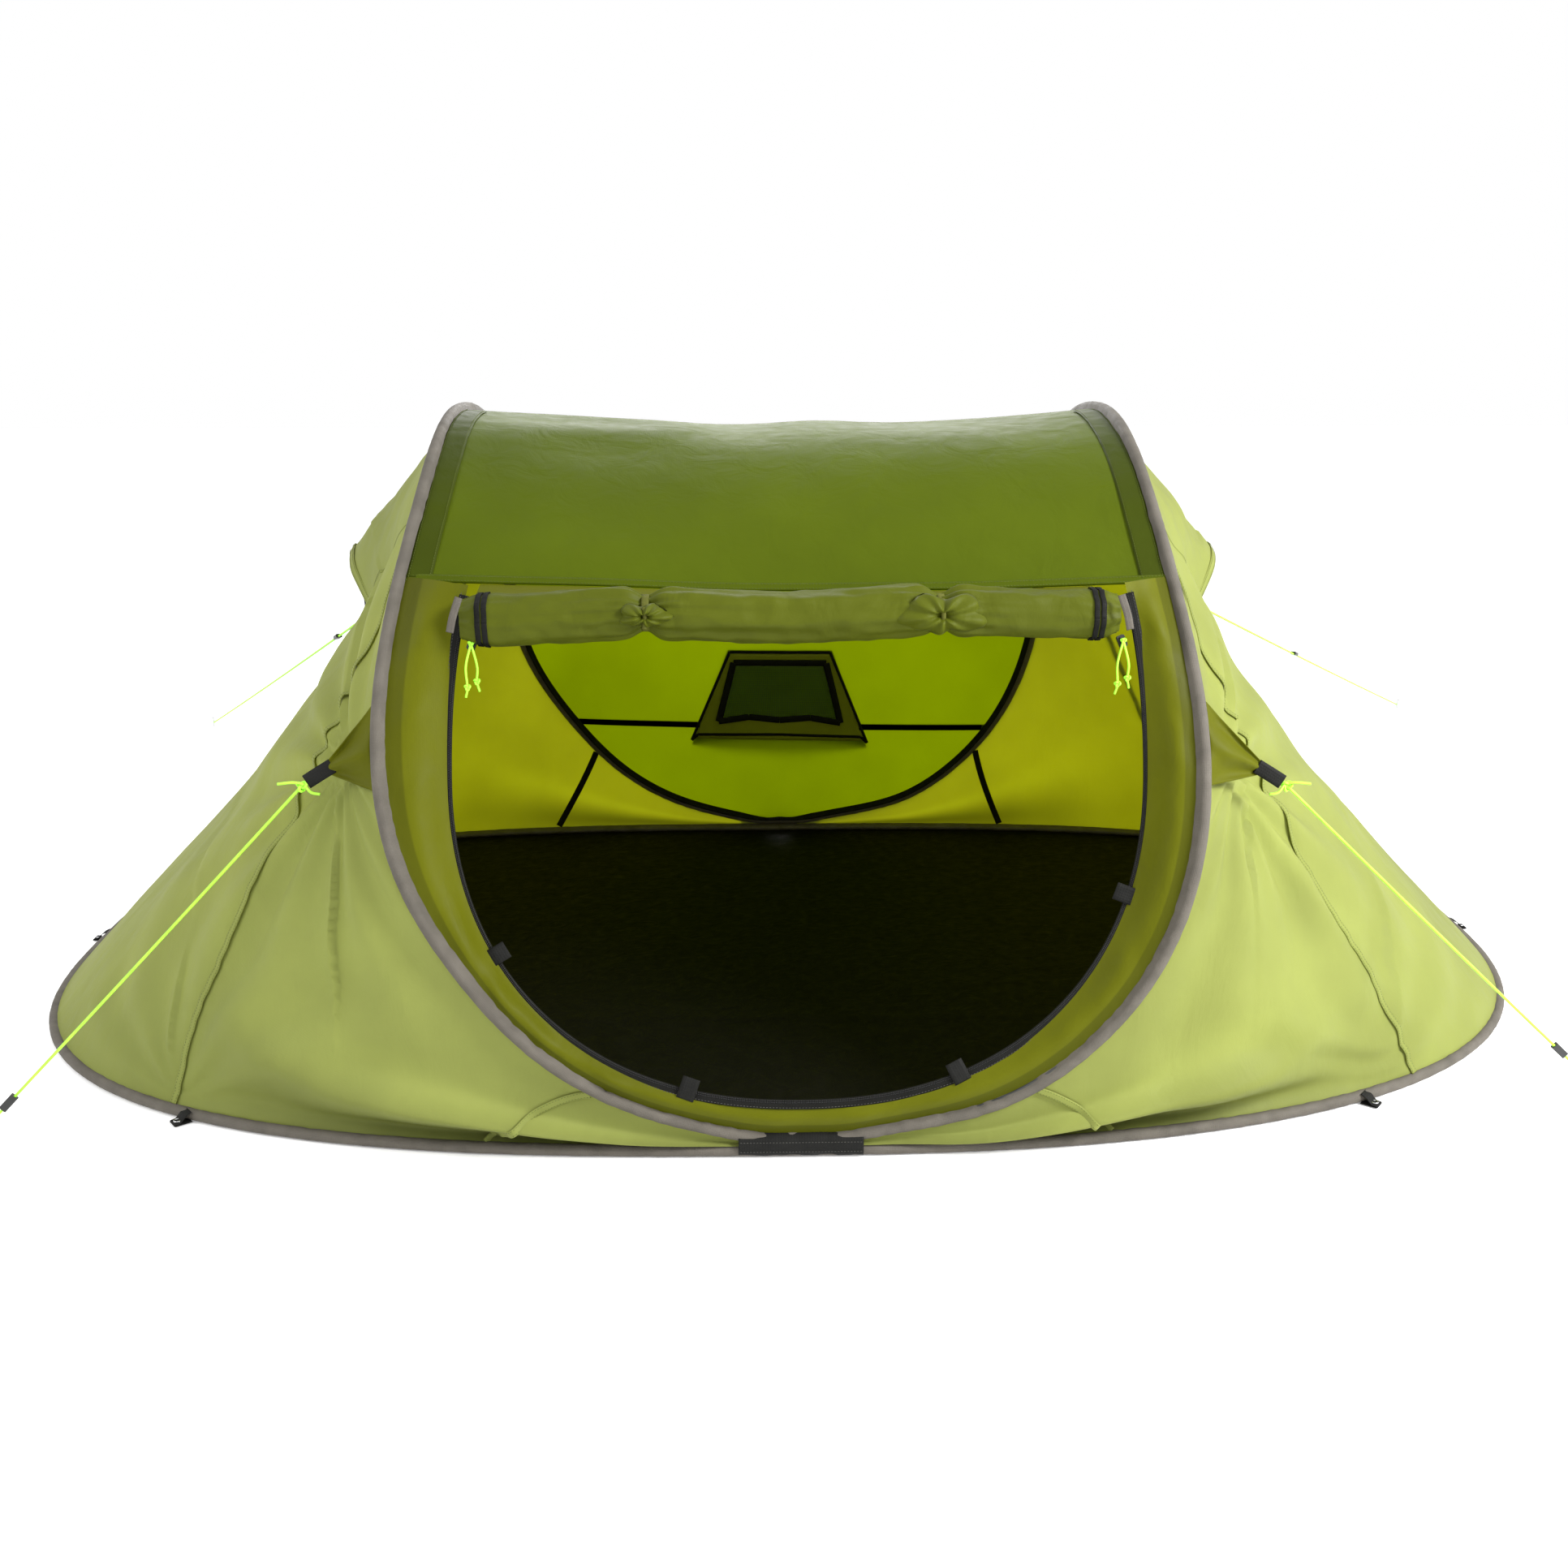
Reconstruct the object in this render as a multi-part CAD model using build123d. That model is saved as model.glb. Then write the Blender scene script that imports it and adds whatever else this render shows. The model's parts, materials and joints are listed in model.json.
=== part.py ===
"""Two person pop up tent, pitched, with its door rolled up.

A closed hoop and a ground ring, both flexible rods in fabric sleeves, carry the canopy.  The hoop
stands on the ring at the front and at the rear, and rises to a peak on each side.  All sizes are in
millimetres, +X is to the right seen from the door side, the door faces -Y, and the ground is z = 0.
"""
import math
import os
from build123d import *

os.makedirs("parts", exist_ok=True)

# Frame: rods, sleeves and the two loops
ROD_RADIUS = 3.5
SLEEVE_RADIUS = 8.0
SLEEVE_BORE = 5.6
FERRULE_RADIUS = 4.9
FERRULE_BORE = 4.0
FERRULE_LENGTH = 36.0
RING_STEPS = 24
RING_HALF_LENGTH = 1242.0
RING_HALF_WIDTH = 717.0
RING_WIDEST_Y = 100.0
RING_SQUARENESS = {(-1, -1): 2.8, (1, -1): 2.45, (-1, 1): 2.9, (1, 1): 2.9}
RING_Z = SLEEVE_RADIUS
HOOP_FOOT_Z = RING_Z + 2 * SLEEVE_RADIUS + 1.0
PEAK_Z = 956.0
HOOP_ROUNDNESS = 2.25
HOOP_Z = [25.0, 25.0, 36.0, 75.0, 150.0, 260.0, 400.0, 550.0, 700.0, 850.0, 905.0, 940.0, 953.0, 956.0]
HOOP_X = {
    -1: [0.2, 40.0, 105.0, 232.0, 352.0, 450.0, 530.0, 559.0, 551.0, 530.0, 527.0, 528.0, 530.0, 531.0],
    1: [0.2, 40.0, 112.0, 272.0, 385.0, 474.0, 527.0, 540.0, 525.0, 507.0, 505.0, 506.0, 508.0, 509.0],
}
HOOP_INSET = 19.5
RING_INSET = 31.0
FOOT_GAP = 0.4

# Fabric
CLOTH = 1.6
ROOF_SAG = 22.0
SIDE_SAG = 0.052
FRONT_SEAM_Z = 752.0
REAR_SEAM_Z = 245.0
PANEL_FOOT_T = 0.075
SIDE_FOOT_T = 0.12
GORE_T = (0.27, 0.73)
SEAM_GAP_T = 0.0015
GROUNDSHEET = 2.0

# Door: a flat oval opening in a plane that leans back
DOOR_LEAN = 16.0
DOOR_CENTRE = Vector(0, -600, 512)
DOOR_HALF_WIDTH = 466.0
DOOR_HALF_DOWN = 444.0
DOOR_HALF_UP = 620.0
DOOR_ROUNDNESS = 2.25
DOOR_TOP_ANGLE = 28.0
ZIP_TAPE = 13.0
DOOR_PLANE = Plane(
    origin=DOOR_CENTRE,
    x_dir=(1, 0, 0),
    z_dir=(0, -math.cos(math.radians(DOOR_LEAN)), math.sin(math.radians(DOOR_LEAN))),
)
SLIDER_TRACK_RADIUS = 469.0
SLIDER_ANGLE = {-1: 158.5, 1: 21.5}
ROLL_RADIUS = 33.0
ROLL_ENDS = (-424.0, 408.0)
ROLL_Y = -548.0
ROLL_Z = 716.0
TIE_X = (-204.0, 190.0)
TIE_WIDTH = 12.0
TOGGLE_RADIUS = 3.5
TOGGLE_LENGTH = 24.0
SLIDER_LIFT = 1.2
SLIDER_SIZE = (11.0, 17.0, 6.0)
SLIDER_BRIDGE = (3.5, 12.0, 3.0)
PULL_LOOP_RADIUS = 3.6
PULL_STRAND_RADIUS = 1.6
PULL_KNOT_RADIUS = 4.0
PULL_DROP = Vector(0, -8, -60)
PULL_SPREAD = 3.0
DOOR_TAB_ANGLES = (211.0, 250.4, 297.5, 338.9)
DOOR_TAB_SIZE = (26.0, 22.0, 1.6)

# Vent hoods: awnings of cloth held open by a strut
HOOD_HALF_T = (0.13, 0.06)
HOOD_TOP_V = 0.035
HOOD_CORNER_V = 0.34
HOOD_TIP_V = 0.26
HOOD_BULGE = 74.0
HOOD_CLEARANCE = 4.0
STRUT_RADIUS = 2.5
SIDE_STRUT_FOOT_V = 0.325
SIDE_STRUT_HEAD_DOWN = 0.96
SIDE_MESH_V = (0.11, 0.25)
SIDE_MESH_HALF_T = (0.07, 0.04)
NET = 0.8
REAR_VENT_TOP_Z = 425.0
REAR_VENT_FOOT_Z = 196.0
REAR_VENT_HALF = (110.0, 190.0)
REAR_VENT_BULGE = 34.0
MESH_HALF = (94.0, 126.0)
MESH_Z = (392.0, 265.0)
REAR_STRUT_Z = (222.0, 206.0)
REAR_STRUT_LIFT = (5.0, 31.0)

# Guy lines: where each leaves the tent and where its peg holds it
ROPE_RADIUS = 2.0
FRONT_ROPE = {-1: ((-664, -600, 498), (-1136, -664, 12)), 1: ((661, -600, 489), (1177, -537, 12))}
REAR_ROPE = {-1: ((-740, 60, 592), (-1555, 1690, 12)), 1: ((724, 60, 612), (1822, 1825, 12))}
RUNNER_PLACE = {("front", -1): 0.90, ("front", 1): 0.90, ("rear", -1): 0.085, ("rear", 1): 0.345}
RUNNER_BORE = ROPE_RADIUS + 0.08
RUNNER_SIZE = (26.0, 11.0, 7.0)
PEG_RADIUS = 3.0
PEG_HEAD = 24.0
TAB_WIDTH = 20.0
TAB_THICKNESS = 2.4
GUSSET_Z = (500.0, 600.0)
GUSSET_STEP = 10.0
TAB_REACH = Vector(34, 2, 22)

# Trim along the ring
LOOP_ANGLES = {"front": (233.0, 307.0), "side": (180.0, 0.0), "rear": (127.0, 53.0)}
LOOP_SIZE = (22.0, 16.7, 1.6)
LOOP_START = 12.8
EYELET_RADIUS = 4.0
PATCH_SIZE = (150.0, 1.6, 15.0)


def profile_y(z):
    """How far the hoop stands from the middle, front to back, at a height."""
    rise = min((z - HOOP_FOOT_Z) / (PEAK_Z - HOOP_FOOT_Z), 1.0)
    return RING_HALF_WIDTH * max(1.0 - max(rise, 0.0) ** HOOP_ROUNDNESS, 0.0) ** (1 / HOOP_ROUNDNESS)


def hoop_points(side):
    """The hoop's left or right half, from the front foot over the peak to the rear foot."""
    front = [Vector(side * x, -profile_y(z), z) for x, z in zip(HOOP_X[side], HOOP_Z)]
    rear = [Vector(p.X, -p.Y, p.Z) for p in reversed(front[:-1])]
    return front + rear


def ring_point(angle):
    """A point of the ring's centreline: 0 is +X, 90 is the rear, 270 is the front."""
    c, s = math.cos(math.radians(angle)), math.sin(math.radians(angle))
    side, end = (1 if c >= 0 else -1), (1 if s >= 0 else -1)
    power = 2 / RING_SQUARENESS[side, end]
    depth = RING_HALF_WIDTH - end * RING_WIDEST_Y
    x = side * RING_HALF_LENGTH * abs(c) ** power
    return Vector(x, RING_WIDEST_Y + end * depth * abs(s) ** power, RING_Z)


def rounded_path(points):
    """Straight runs joined by tangent arcs, each as large as its two runs allow."""
    radii = []
    for a, b, c in zip(points, points[1:], points[2:]):
        turn = (b - a).get_angle(c - b)
        radii.append(0.45 * min((b - a).length, (c - b).length) / math.tan(math.radians(turn / 2)))
    return FilletPolyline(*points, radius=radii)


def tube(path, radius, bore=0.0):
    """A round bar or pipe along a path."""
    section = Circle(radius) - Circle(bore) if bore else Circle(radius)
    return sweep(Plane(path @ 0, z_dir=path % 0) * section, path=path)


def rod_between(start, end, radius):
    """A straight round bar."""
    start, end = Vector(*start), Vector(*end)
    bar = Cylinder(radius, (end - start).length, align=(Align.CENTER, Align.CENTER, Align.MIN))
    return Plane(start, z_dir=end - start) * bar


def sheet(rows, thickness=CLOTH, side=1):
    """Cloth through a grid of points, as a thin closed solid: the left side's grid runs backwards."""
    face = Face.make_surface_from_array_of_points(rows[::side], tol=0.5)
    return Solid.thicken(face, thickness)


def inset(point, amount=HOOP_INSET):
    """Move a hoop point into the canopy's front or rear wall, clear of the sleeve."""
    middle = Vector(0, point.Y, 480)
    return point + (middle - point).normalized() * amount


HOOP_LINE = {
    side: Spline(*hoop_points(side), tangents=[(side, 0, 0), (-side, 0, 0)]) for side in (-1, 1)
}


def ring_line(side):
    """Points along the left or right half of the ring, from the front to the rear."""
    step = 180 / RING_STEPS
    start, turn = (270, -step) if side < 0 else (-90, step)
    points = [ring_point(start + turn * i) for i in range(RING_STEPS + 1)]
    points[0] += Vector(side * FOOT_GAP, 0, 0)
    points[-1] += Vector(side * FOOT_GAP, 0, 0)
    return points


def hoop_at_height(side, z):
    """The place along the front half of the hoop line where it passes a height."""
    low, high = 0.0, 0.5
    for _ in range(40):
        mid = (low + high) / 2
        if (HOOP_LINE[side] @ mid).Z < z:
            low = mid
        else:
            high = mid
    return low


def wall_row(t, columns=9, sag=ROOF_SAG):
    """Points across the canopy from the left leg to the right leg, sagging inwards."""
    left, right = inset(HOOP_LINE[-1] @ t), inset(HOOP_LINE[1] @ t)
    inward = Vector(0, -left.Y, 300 - left.Z).normalized()
    row = []
    for i in range(columns):
        u = i / (columns - 1)
        row.append(left + (right - left) * u + inward * (sag * 4 * u * (1 - u)))
    return row


def wall_panel(t_start, t_end, rows=9):
    """One panel of the roof or the rear wall, between two places along the hoop."""
    span = [t_start + (t_end - t_start) * i / (rows - 1) for i in range(rows)]
    return sheet([wall_row(t) for t in span])


def door_edge(angle, grow=0.0, lift=0.0):
    """A point on the door opening's oval, in the door plane."""
    c, s = math.cos(math.radians(angle)), math.sin(math.radians(angle))
    half = DOOR_HALF_UP if s > 0 else DOOR_HALF_DOWN
    reach = (abs(c / DOOR_HALF_WIDTH) ** DOOR_ROUNDNESS + abs(s / half) ** DOOR_ROUNDNESS)
    reach = reach ** (-1 / DOOR_ROUNDNESS) + grow
    return DOOR_PLANE.from_local_coords(Vector(reach * c, reach * s, lift))


def door_surround():
    """The band of cloth between the hoop and the zip, open at the top."""
    top = hoop_at_height(-1, FRONT_SEAM_Z)
    steps = 12
    stations = [(-1, top * (1 - i / steps)) for i in range(steps)]
    stations += [(1, top * i / steps) for i in range(steps + 1)]
    rows = []
    for side, t in stations:
        outer = inset(HOOP_LINE[side] @ t)
        angle = math.degrees(math.atan2(outer.Z - DOOR_CENTRE.Z, outer.X))
        inner = door_edge(angle, grow=ZIP_TAPE + 2)
        rows.append([outer + (inner - outer) * (j / 3) for j in range(4)])
    return sheet(rows)


def oval_strip(inner, outer, bottom, top, start, end):
    """A flat band that follows the door's oval, standing proud of the door plane."""
    angles = [start + (end - start) * i / 24 for i in range(25)]
    inside = [DOOR_PLANE.to_local_coords(door_edge(a, inner)) for a in angles]
    outside = [DOOR_PLANE.to_local_coords(door_edge(a, outer)) for a in angles]
    edges = Curve() + [
        Spline(*inside),
        Line(inside[-1], outside[-1]),
        Spline(*reversed(outside)),
        Line(outside[0], inside[0]),
    ]
    band = extrude(make_face(edges), top - bottom)
    return DOOR_PLANE * (Pos(0, 0, bottom) * band)


def side_point(side, t, v):
    """A point of a side panel: t runs along the hoop and the ring, v from the hoop to the ring."""
    hoop = HOOP_LINE[side] @ t
    turn = -90 + 180 * t if side > 0 else 270 - 180 * t
    ring = ring_point(turn)
    run = ring - hoop
    start = hoop + run.normalized() * HOOP_INSET
    stop = ring - run.normalized() * RING_INSET
    inward = Vector(-side * 0.8, 0, -0.6)
    depth = SIDE_SAG * run.length * math.sin(math.pi * t) * math.sin(math.pi * v ** 0.85)
    return start + (stop - start) * v + inward * depth


def side_gore(side, t_start, t_end):
    """One of the three panels of a side wall."""
    rows = []
    first, last = t_start + SEAM_GAP_T, t_end - SEAM_GAP_T
    for i in range(8):
        t = first + (last - first) * i / 7
        rows.append([side_point(side, t, j / 8) for j in range(9)])
    return sheet(rows, side=side)


def groundsheet():
    """The floor, flat on the ground inside the ring."""
    middle = Vector(0, RING_WIDEST_Y, 0)
    points = []
    for i in range(48):
        rim = ring_point(i * 7.5)
        flat = Vector(rim.X, rim.Y, 0)
        points.append(flat + (middle - flat).normalized() * (SLEEVE_RADIUS + 4))
    return extrude(make_face(Spline(*points, periodic=True)), GROUNDSHEET)


def side_outward(side):
    """The way a side wall faces near its vent."""
    return Vector(side * 0.86, 0, 0.51)


def hood_point(side, down, across, clear=HOOD_CLEARANCE):
    """A point of a side vent's hood: down 0 to 1 from the hoop, across -1 to 1 front to rear."""
    half = HOOD_HALF_T[0] + (HOOD_HALF_T[1] - HOOD_HALF_T[0]) * down
    hem_v = HOOD_TIP_V + (HOOD_CORNER_V - HOOD_TIP_V) * across ** 2
    v = HOOD_TOP_V + (hem_v - HOOD_TOP_V) * down
    bulge = clear + HOOD_BULGE * down ** 1.2 * (1 - across ** 2)
    return side_point(side, 0.5 + half * across, v) + side_outward(side) * bulge


def side_hood(side):
    """The hood, open at its hem."""
    rows = [[hood_point(side, i / 6, j / 4 - 1) for j in range(9)] for i in range(7)]
    return sheet(rows, side=side)


def side_mesh(side):
    """The mosquito net panel under the hood."""
    rows = []
    for i in range(4):
        v = SIDE_MESH_V[0] + (SIDE_MESH_V[1] - SIDE_MESH_V[0]) * i / 3
        half = SIDE_MESH_HALF_T[0] + (SIDE_MESH_HALF_T[1] - SIDE_MESH_HALF_T[0]) * i / 3
        rows.append([side_point(side, 0.5 + half * (j / 3 - 1), v) + side_outward(side) * 2 for j in range(7)])
    return sheet(rows, NET, side)


def side_strut_ends(side):
    """The strut's foot on the wall and its head under the hood's hem."""
    foot = side_point(side, 0.5, SIDE_STRUT_FOOT_V) + side_outward(side) * 7
    head = hood_point(side, SIDE_STRUT_HEAD_DOWN, 0) - side_outward(side) * 9
    return foot, head


def rear_wall_point(x, z, lift=0.0):
    """A point on or behind the rear wall."""
    t = 1 - hoop_at_height(-1, z)
    left, right = inset(HOOP_LINE[-1] @ t), inset(HOOP_LINE[1] @ t)
    u = (x - left.X) / (right.X - left.X)
    y = left.Y - ROOF_SAG * 4 * u * (1 - u)
    return Vector(x, y + CLOTH + lift, z)


def rear_hood():
    """The rear vent's hood, wider and prouder towards its open hem."""
    rows = []
    for i in range(6):
        down = i / 5
        z = REAR_VENT_TOP_Z + (REAR_VENT_FOOT_Z - REAR_VENT_TOP_Z) * down
        half = REAR_VENT_HALF[0] + (REAR_VENT_HALF[1] - REAR_VENT_HALF[0]) * down
        lift = [3 + REAR_VENT_BULGE * down * (1 - (j / 4 - 1) ** 2) for j in range(9)]
        rows.append([rear_wall_point(half * (j / 4 - 1), z, lift[j]) for j in range(9)])
    return sheet(rows)


def rear_mesh():
    """The tapered net window on the rear wall."""
    rows = []
    for i in range(4):
        z = MESH_Z[0] + (MESH_Z[1] - MESH_Z[0]) * i / 3
        half = MESH_HALF[0] + (MESH_HALF[1] - MESH_HALF[0]) * i / 3
        rows.append([rear_wall_point(half * (j / 3 - 1), z, 0.5) for j in range(7)])
    return sheet(rows, NET)


def tab_tip(side):
    """Where the webbing tab meets the gusset's outer corner."""
    return Vector(*FRONT_ROPE[side][0]) + Vector(-side * TAB_REACH.X, TAB_REACH.Y, TAB_REACH.Z)


def gusset(side):
    """A corner of cloth that spreads a front guy line's pull along the hoop."""
    foot, top = [
        HOOP_LINE[side] @ hoop_at_height(side, z) + Vector(side * GUSSET_STEP, 0, 0) for z in GUSSET_Z
    ]
    plate = Face(Wire.make_polygon([top, foot, tab_tip(side)], close=True))
    return Solid.thicken(plate, TAB_THICKNESS)


def webbing_tab(side):
    """The black tab that joins the gusset to the guy line."""
    run = Vector(*FRONT_ROPE[side][0]) - tab_tip(side)
    start = tab_tip(side) + run.normalized() * 1.5
    plane = Plane(origin=start, x_dir=run, z_dir=Vector(0, -1, 0).cross(run).cross(run) * -1)
    length = run.length - 6
    return plane * Box(length, TAB_WIDTH, TAB_THICKNESS, align=(Align.MIN, Align.CENTER, Align.CENTER))


def rope(end, side):
    """One guy line, pulled straight from the tent to its peg."""
    start, stop = (FRONT_ROPE if end == "front" else REAR_ROPE)[side]
    return rod_between(start, stop, ROPE_RADIUS)


def runner(end, side):
    """The plate that shortens a guy line, bored along the line."""
    start, stop = (FRONT_ROPE if end == "front" else REAR_ROPE)[side]
    start, stop = Vector(*start), Vector(*stop)
    centre = start + (stop - start) * RUNNER_PLACE[end, side]
    body = Box(RUNNER_SIZE[1], RUNNER_SIZE[2], RUNNER_SIZE[0])
    body = fillet(body.edges().filter_by(Axis.Z), 2.0)
    return Plane(centre, z_dir=stop - start) * (body - Cylinder(RUNNER_BORE, RUNNER_SIZE[0] + 2))


def peg(end, side):
    """A ground peg's hooked head, from the ground up."""
    start, stop = (FRONT_ROPE if end == "front" else REAR_ROPE)[side]
    start, stop = Vector(*start), Vector(*stop)
    away = Vector(stop.X - start.X, stop.Y - start.Y, 0).normalized()
    foot = stop + away * 6 - Vector(0, 0, stop.Z)
    shank = Pos(*foot) * Cylinder(PEG_RADIUS, PEG_HEAD, align=(Align.CENTER, Align.CENTER, Align.MIN))
    top = foot + Vector(0, 0, PEG_HEAD - PEG_RADIUS)
    hook = rod_between(top - away * 1, top + away * 14, PEG_RADIUS)
    return shank + hook


def slider(side):
    """A zip slider standing on the zip tape."""
    body = Box(*SLIDER_SIZE, align=(Align.CENTER, Align.CENTER, Align.MIN))
    body = fillet(body.edges().filter_by(Axis.Z), 3.0)
    bridge = Pos(0, 0, SLIDER_SIZE[2]) * Box(*SLIDER_BRIDGE, align=(Align.CENTER, Align.CENTER, Align.MIN))
    spot = Pos(*slider_spot(side))
    return DOOR_PLANE * spot * Rot(0, 0, SLIDER_ANGLE[side]) * (body + bridge)


def slider_spot(side):
    """Where the slider rests, in the door plane."""
    angle = math.radians(SLIDER_ANGLE[side])
    return (SLIDER_TRACK_RADIUS * math.cos(angle), SLIDER_TRACK_RADIUS * math.sin(angle), SLIDER_LIFT)


def pull_cord(side):
    """Two knotted strands that hang from a slider."""
    x, y, lift = slider_spot(side)
    proud = lift + SLIDER_SIZE[2] + SLIDER_BRIDGE[2] + PULL_LOOP_RADIUS + 0.4
    top = DOOR_PLANE.from_local_coords(Vector(x, y, proud))
    cord = Pos(top.X, top.Y, top.Z) * Sphere(PULL_LOOP_RADIUS)
    for dx in (-PULL_SPREAD, PULL_SPREAD):
        end = top + PULL_DROP + Vector(2 * dx, 0, 0)
        cord += rod_between(top, end, PULL_STRAND_RADIUS)
        cord += Pos(end.X, end.Y, end.Z) * Sphere(PULL_KNOT_RADIUS)
    return cord


def door_tie(x):
    """The tie that gathers the rolled door."""
    pipe = Cylinder(ROLL_RADIUS + 2.4, TIE_WIDTH) - Cylinder(ROLL_RADIUS + 0.4, TIE_WIDTH + 2)
    toggle = Pos(0, -ROLL_RADIUS - 2 * TOGGLE_RADIUS, 0) * Cylinder(TOGGLE_RADIUS, TOGGLE_LENGTH)
    return Pos(x, ROLL_Y, ROLL_Z) * Rot(0, 90, 0) * Rot(0, 0, 90) * (pipe + toggle)


def rolled_zip_tapes():
    """The door's own zip tape, wound round the roll near each end."""
    bands = []
    for x in (ROLL_ENDS[0] + 8, ROLL_ENDS[1] - 8):
        ring = Cylinder(ROLL_RADIUS + 1.8, TIE_WIDTH) - Cylinder(ROLL_RADIUS + 0.3, TIE_WIDTH + 2)
        bands.append(Pos(x, ROLL_Y, ROLL_Z) * Rot(0, 90, 0) * ring)
    return Compound(children=bands)


def door_tabs():
    """Four small loops sewn to the edge of the opening."""
    tabs = []
    for angle in DOOR_TAB_ANGLES:
        spot = DOOR_PLANE.to_local_coords(door_edge(angle, -8))
        plate = Box(*DOOR_TAB_SIZE, align=(Align.CENTER, Align.CENTER, Align.MIN))
        tabs.append(DOOR_PLANE * Pos(spot.X, spot.Y, -2.6) * Rot(0, 0, angle) * plate)
    return Compound(children=tabs)


def ring_loop(angle):
    """A webbing loop with an eyelet, outside the ring and flat on the ground."""
    spot = ring_point(angle)
    outward = (spot - Vector(0, RING_WIDEST_Y, RING_Z)).normalized()
    width, depth, thick = LOOP_SIZE
    plate = Box(depth, width, thick, align=(Align.MIN, Align.CENTER, Align.MIN))
    plate -= Pos(depth - 8, 0, 0) * Cylinder(EYELET_RADIUS, 4 * thick)
    start = Vector(spot.X, spot.Y, 0) + outward * LOOP_START
    return Plane(origin=start, x_dir=outward, z_dir=(0, 0, 1)) * plate


def ferrules():
    """Short tubes over the rods' meeting ends, inside the sleeves."""
    pipes = []
    for y in (-RING_HALF_WIDTH, RING_HALF_WIDTH):
        for z in (RING_Z, HOOP_FOOT_Z):
            pipe = Cylinder(FERRULE_RADIUS, FERRULE_LENGTH) - Cylinder(FERRULE_BORE, FERRULE_LENGTH + 2)
            pipes.append(Pos(0, y, z) * Rot(0, 90, 0) * pipe)
    return Compound(children=pipes)


def foot_patches():
    """Plain black patches over the places where the hoop stands on the ring."""
    gap = RING_HALF_WIDTH + SLEEVE_RADIUS + 0.3 + PATCH_SIZE[1] / 2
    plates = [Pos(0, y, 1 + PATCH_SIZE[2] / 2) * Box(*PATCH_SIZE) for y in (-gap, gap)]
    return Compound(children=plates)


def rear_seam_tape():
    """The tape inside the rear wall, either side of the vent."""
    rows = []
    for z in (REAR_SEAM_Z - 5, REAR_SEAM_Z, REAR_SEAM_Z + 5):
        rows.append([rear_wall_point(-430 + 860 * j / 10, z, -6) for j in range(11)])
    return sheet(rows, NET)


def save(name, shape):
    """Write one sub-part."""
    export_step(shape, f"parts/{name}.step")


def save_frame(side, word):
    """Rods, sleeves and side panels of one half."""
    hoop = rounded_path(hoop_points(side))
    ring = rounded_path(ring_line(side))
    save(f"hoop_rod_{word}", tube(hoop, ROD_RADIUS))
    save(f"hoop_sleeve_{word}", tube(hoop, SLEEVE_RADIUS, SLEEVE_BORE))
    save(f"ring_rod_{word}", tube(ring, ROD_RADIUS))
    save(f"ring_sleeve_{word}", tube(ring, SLEEVE_RADIUS, SLEEVE_BORE))
    save(f"side_front_gore_{word}", side_gore(side, SIDE_FOOT_T, GORE_T[0]))
    save(f"side_middle_panel_{word}", side_gore(side, *GORE_T))
    save(f"side_rear_gore_{word}", side_gore(side, GORE_T[1], 1 - SIDE_FOOT_T))


def save_side_fittings(side, word):
    """Vent, guy line and door fittings of one half."""
    foot, head = side_strut_ends(side)
    save(f"side_vent_hood_{word}", side_hood(side))
    save(f"side_vent_mesh_{word}", side_mesh(side))
    save(f"side_vent_strut_{word}", rod_between(foot, head, STRUT_RADIUS))
    save(f"guy_gusset_{word}", gusset(side))
    save(f"guy_tab_{word}", webbing_tab(side))
    for end in ("front", "rear"):
        save(f"guy_rope_{end}_{word}", rope(end, side))
        save(f"guy_runner_{end}_{word}", runner(end, side))
        save(f"peg_{end}_{word}", peg(end, side))
    save(f"zip_slider_{word}", slider(side))
    save(f"zip_pull_cord_{word}", pull_cord(side))


def main():
    for side, word in ((-1, "left"), (1, "right")):
        save_frame(side, word)
        save_side_fittings(side, word)
    front = hoop_at_height(-1, FRONT_SEAM_Z)
    rear = 1 - hoop_at_height(-1, REAR_SEAM_Z)
    save("roof_front_panel", wall_panel(front, 0.5 - SEAM_GAP_T))
    save("rear_upper_panel", wall_panel(0.5 + SEAM_GAP_T, rear - SEAM_GAP_T))
    save("rear_lower_panel", wall_panel(rear + SEAM_GAP_T, 1 - PANEL_FOOT_T))
    save("door_surround", door_surround())
    zip_ends = (180 - DOOR_TOP_ANGLE, 360 + DOOR_TOP_ANGLE)
    save("door_zip_tape", oval_strip(0, ZIP_TAPE, -0.6, 0.6, *zip_ends))
    save("groundsheet", groundsheet())
    roll = [(x, ROLL_Y, ROLL_Z) for x in ROLL_ENDS]
    save("rolled_door", rod_between(*roll, ROLL_RADIUS))
    save("rolled_door_zip_tapes", rolled_zip_tapes())
    for x, word in zip(TIE_X, ("left", "right")):
        save(f"door_tie_{word}", door_tie(x))
    save("door_edge_tabs", door_tabs())
    save("rear_vent_hood", rear_hood())
    save("rear_vent_mesh", rear_mesh())
    rear_strut_ends = [rear_wall_point(0, z, lift) for z, lift in zip(REAR_STRUT_Z, REAR_STRUT_LIFT)]
    save("rear_vent_strut", rod_between(*rear_strut_ends, STRUT_RADIUS))
    save("rear_seam_tape", rear_seam_tape())
    for place, angles in LOOP_ANGLES.items():
        save(f"peg_loops_{place}", Compound(children=[ring_loop(a) for a in angles]))
    save("rod_ferrules", ferrules())
    save("foot_patches", foot_patches())


main()
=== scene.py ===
# %% [markdown]
# # A pop up tent, cell by cell
# The tent is two closed loops of springy rod in cloth sleeves.  One loop lies on the ground, and the
# other stands on it and holds the canopy.  The measured frame is loaded first and never moves; every
# cell after that dresses one part of it in cloth, tape, thread or cord.

# %% Load the frame
import json
import math

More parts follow.
